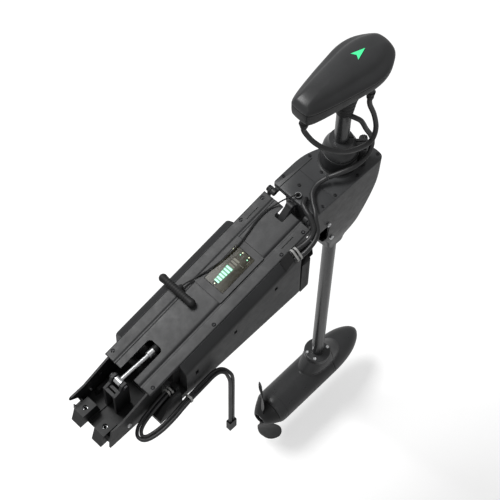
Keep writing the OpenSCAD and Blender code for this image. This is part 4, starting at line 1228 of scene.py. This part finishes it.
HARNESS_D = 12
HARNESS = {
    "head_loop_cable": [
        (396, 0, 511.4), (396, 0, 500), (400, -6, 484), (410, -18, 458), (428, -34, 430), (454, -48, 404),
        (484, -57, 380), (520, -61, 358), (548, -62, 347), (566, -61, 354), (575, -57, 380), (573, -49, 420),
        (565, -41, 456), (563, -39, 472), (563, -39, 485.8)],
    "depth_cable": [(531, -12, 424), (538, -24, 420), (554, -31, 396), (570, -35, 352), (579, -41, 328),
                    (582.5, -46, 312), (583, -47, 301)],
    "steer_cable": [(583, -47, 299), (582, -48, 288), (572, -51, 272), (550, -52.5, 266), (520, -50, 265),
                    (492, -38, 260), (469.2, -22.8, 249.6)],
    "tilt_cable": [(466.8, -21.2, 248.4), (444, -14, 240), (420, -20, 238), (402, -38, 237.5),
                   (388, -58, 237), (376, -72, 230), (366, -88, 216), (348, -97.5, 206), (322, -99.5, 196),
                   (304, -97, 190.5), (286, -93.3, 188.3)]}
TILT_ROUTE_2 = [(399, -20, 233), (393, -21.5, 238), (381, -28, 240.5), (374, -44, 240), (369.5, -60, 237),
                (362, -78, 225), (350, -86, 213), (332, -87.5, 206), (308, -84, 201.5), (286, -79.8, 199)]


def make_harness():
    made = {}
    for node, route in HARNESS.items():
        path = smooth_path(route, 8)
        cable = tube(node + "_sheath", path, HARNESS_D / 2, CABLE, 20)
        if node == "tilt_cable":
            second = tube("second", smooth_path(TILT_ROUTE_2, 8), HARNESS_D / 2, CABLE, 20)
            cable = join(cable.name, [cable, second], CABLE)
        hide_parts(node)
        made[node] = cable
    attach(made["head_loop_cable"], "shaft")
    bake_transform(made["depth_cable"])
    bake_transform(made["steer_cable"])
    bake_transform(made["tilt_cable"])


def tie(centre, wide, lock):
    """A band round the two power leads, with its lock block and a trimmed tail."""
    at = turned(*centre, "Y", 90)
    inner, outer = 9.3, 10.4
    band = lathe("tie", [(inner, 0), (outer - 0.2, 0), (outer, 0.3), (outer, wide - 0.3), (outer - 0.2, wide),
                         (inner, wide)], TIE, at, 48, True)
    turn = at @ Matrix.Rotation(math.radians(lock), 4, "Z")
    block = box("lock", (outer - 0.4, -2.6, -0.4), (outer + 3.0, 2.6, wide + 0.4), TIE, turn)
    round_edges(block, 0.5, 2)
    tail = box("tail", (outer + 0.2, -1.4, wide * 0.2), (outer + 1.2, 5.2, wide * 0.8), TIE, turn)
    return [band, block, tail]


def pair_band(x, wide):
    """A band round the two harness cables, side by side at the arm's gland."""
    ahead = x + wide / 2 - 291
    lower = Vector((0, -94.3 - 0.195 * ahead, 189 + 0.115 * ahead))
    upper = Vector((0, -80.8 - 0.195 * ahead, 199.6 + 0.115 * ahead))
    line = (upper - lower).normalized()
    square = Vector((0, -line.z, line.y))

    def oval(radius, station):
        points = []
        for k in range(48):
            a = 2 * math.pi * k / 48
            centre = upper if math.cos(a) > 0 else lower
            round_it = radius * (math.cos(a) * line + math.sin(a) * square)
            points.append(centre + round_it + Vector((station, 0, 0)))
        return points

    rings = [oval(6.9, x), oval(7.8, x), oval(8, x + 0.4), oval(8, x + wide - 0.4), oval(7.8, x + wide),
             oval(6.9, x + wide)]
    bm = bmesh.new()
    made = [[bm.verts.new(p) for p in ring] for ring in rings]
    for i, ring in enumerate(made):
        strip(bm, ring, made[(i + 1) % len(made)])
    return shade(from_bmesh("band", bm, TIE))


def make_ties():
    parts = tie((-101, -74.5, 46), 4, 200) + tie((-93, -74.5, 46), 4, 230) + tie((-70, -112.5, 24), 5, 200)
    for x in (289, 298):
        parts.append(pair_band(x, 5))
    ties = join("cable_tie_bands", parts, TIE)
    stand_in(ties, "mount", "cable_ties")


def make_webs():
    """Small moulded webs that close the frame beside the lead clamp and below the hinge."""
    webs = (("clamp_web", [(-79, -96), (-44, -96), (-44, -66), (-79, -66)], 6, 27, "deck_tray"),
            ("hinge_guard", [(320, -92), (352, -92), (372, -70), (373, -44), (320, -44)], 126, 130,
             "arm_crossplates"),
            ("hinge_shelf", [(338, 18), (373, 18), (373, 54), (338, 54)], 126, 130, "arm_crossplates"))
    for name, outline, low, high, node in webs:
        web = prism(name, outline, low, high, FRAME_PLASTIC)
        round_edges(web, 1.2, 3)
        place(web, "mount")


# ---------- build ----------

make_tray()
make_arm()
make_top_cover()
make_side_cover("port_side_cover", -95, 262, 1, SIDE_PLASTIC,
                [(-60, 60, 26, 5), (60, 78, 40, 5), (180, 60, 26, 5)])
make_side_cover("starboard_side_cover", -58, 310, -1, COVER_PAINT,
                [(-30, 70, 9, 16), (92, 96, 9, 12), (222, 128, 9, 12)])
make_bumpers()
make_gas_spring()
make_display()
make_handle()
make_housing()
make_lid()
make_collar()
make_head()
make_shaft()
make_motor()
make_propeller()
make_harness()
make_ties()
make_webs()
make_leads()
make_release_cord()
for inner_node, inner_finish in (
        ("display_board", BOARD), ("head_board", BOARD), ("steering_servo", DARK_STEEL),
        ("sleeve_bearings", BEARING), ("servo_pinion", GEAR), ("ring_gear", GEAR),
        ("steering_sleeve", ALUMINIUM), ("stator", COPPER), ("motor_bearings", GEAR), ("rotor", GEAR)):
    coat(NODES[inner_node].data, inner_finish)


# ---------- light and floor ----------

FLOOR_Z = -1075
FLOOR_HALF = 9000


def area_light(name, place_at, aim, size, power):
    data = bpy.data.lights.new(name, "AREA")
    data.shape = "RECTANGLE"
    data.size, data.size_y = size
    data.energy = power
    light = bpy.data.objects.new(name, data)
    bpy.context.scene.collection.objects.link(light)
    direction = Vector(aim) - Vector(place_at)
    turn = direction.to_track_quat("-Z", "Y").to_matrix().to_4x4()
    light.matrix_world = Matrix.Translation(place_at) @ turn


def by_camera(nodes, links, other, seen, target):
    """Feeds one value to the camera's own rays, and another to all others."""
    path = nodes.new("ShaderNodeLightPath")
    choice = nodes.new("ShaderNodeMapRange")
    choice.inputs["To Min"].default_value = other
    choice.inputs["To Max"].default_value = seen
    links.new(path.outputs["Is Camera Ray"], choice.inputs["Value"])
    links.new(choice.outputs["Result"], target)


def make_studio():
    """White surroundings as the camera sees them, with softer light on the object itself."""
    world = bpy.data.worlds.new("studio")
    bpy.context.scene.world = world
    world.use_nodes = True
    nodes, links = world.node_tree.nodes, world.node_tree.links
    background = nodes["Background"]
    background.inputs["Color"].default_value = (1, 1, 1, 1)
    by_camera(nodes, links, 0.42, 1.0, background.inputs["Strength"])
    area_light("key", (-0.3, 1.7, 3.2), (0.15, 0, 0), (1.3, 1.3), 105)
    area_light("side", (-1.4, -2.4, 1.7), (0.2, 0, 0), (1.6, 1.0), 6)

    bm = bmesh.new()
    corners = ((-1, -1), (1, -1), (1, 1), (-1, 1))
    bm.faces.new([bm.verts.new((FLOOR_HALF * x, FLOOR_HALF * y, FLOOR_Z)) for x, y in corners])
    floor = from_bmesh("floor", bm, None)
    look = Look("floor")
    look.set(Base_Color=(0.8, 0.8, 0.8, 1), Roughness=1.0, Specular_IOR_Level=0.0,
             Emission_Color=(1, 1, 1, 1))
    by_camera(look.nodes, look.links, 0.0, 0.42, look.shader.inputs["Emission Strength"])
    floor.data.materials.append(look.material)
    view = bpy.context.scene.view_settings
    view.view_transform = "Standard"
    view.look = "None"


make_studio()
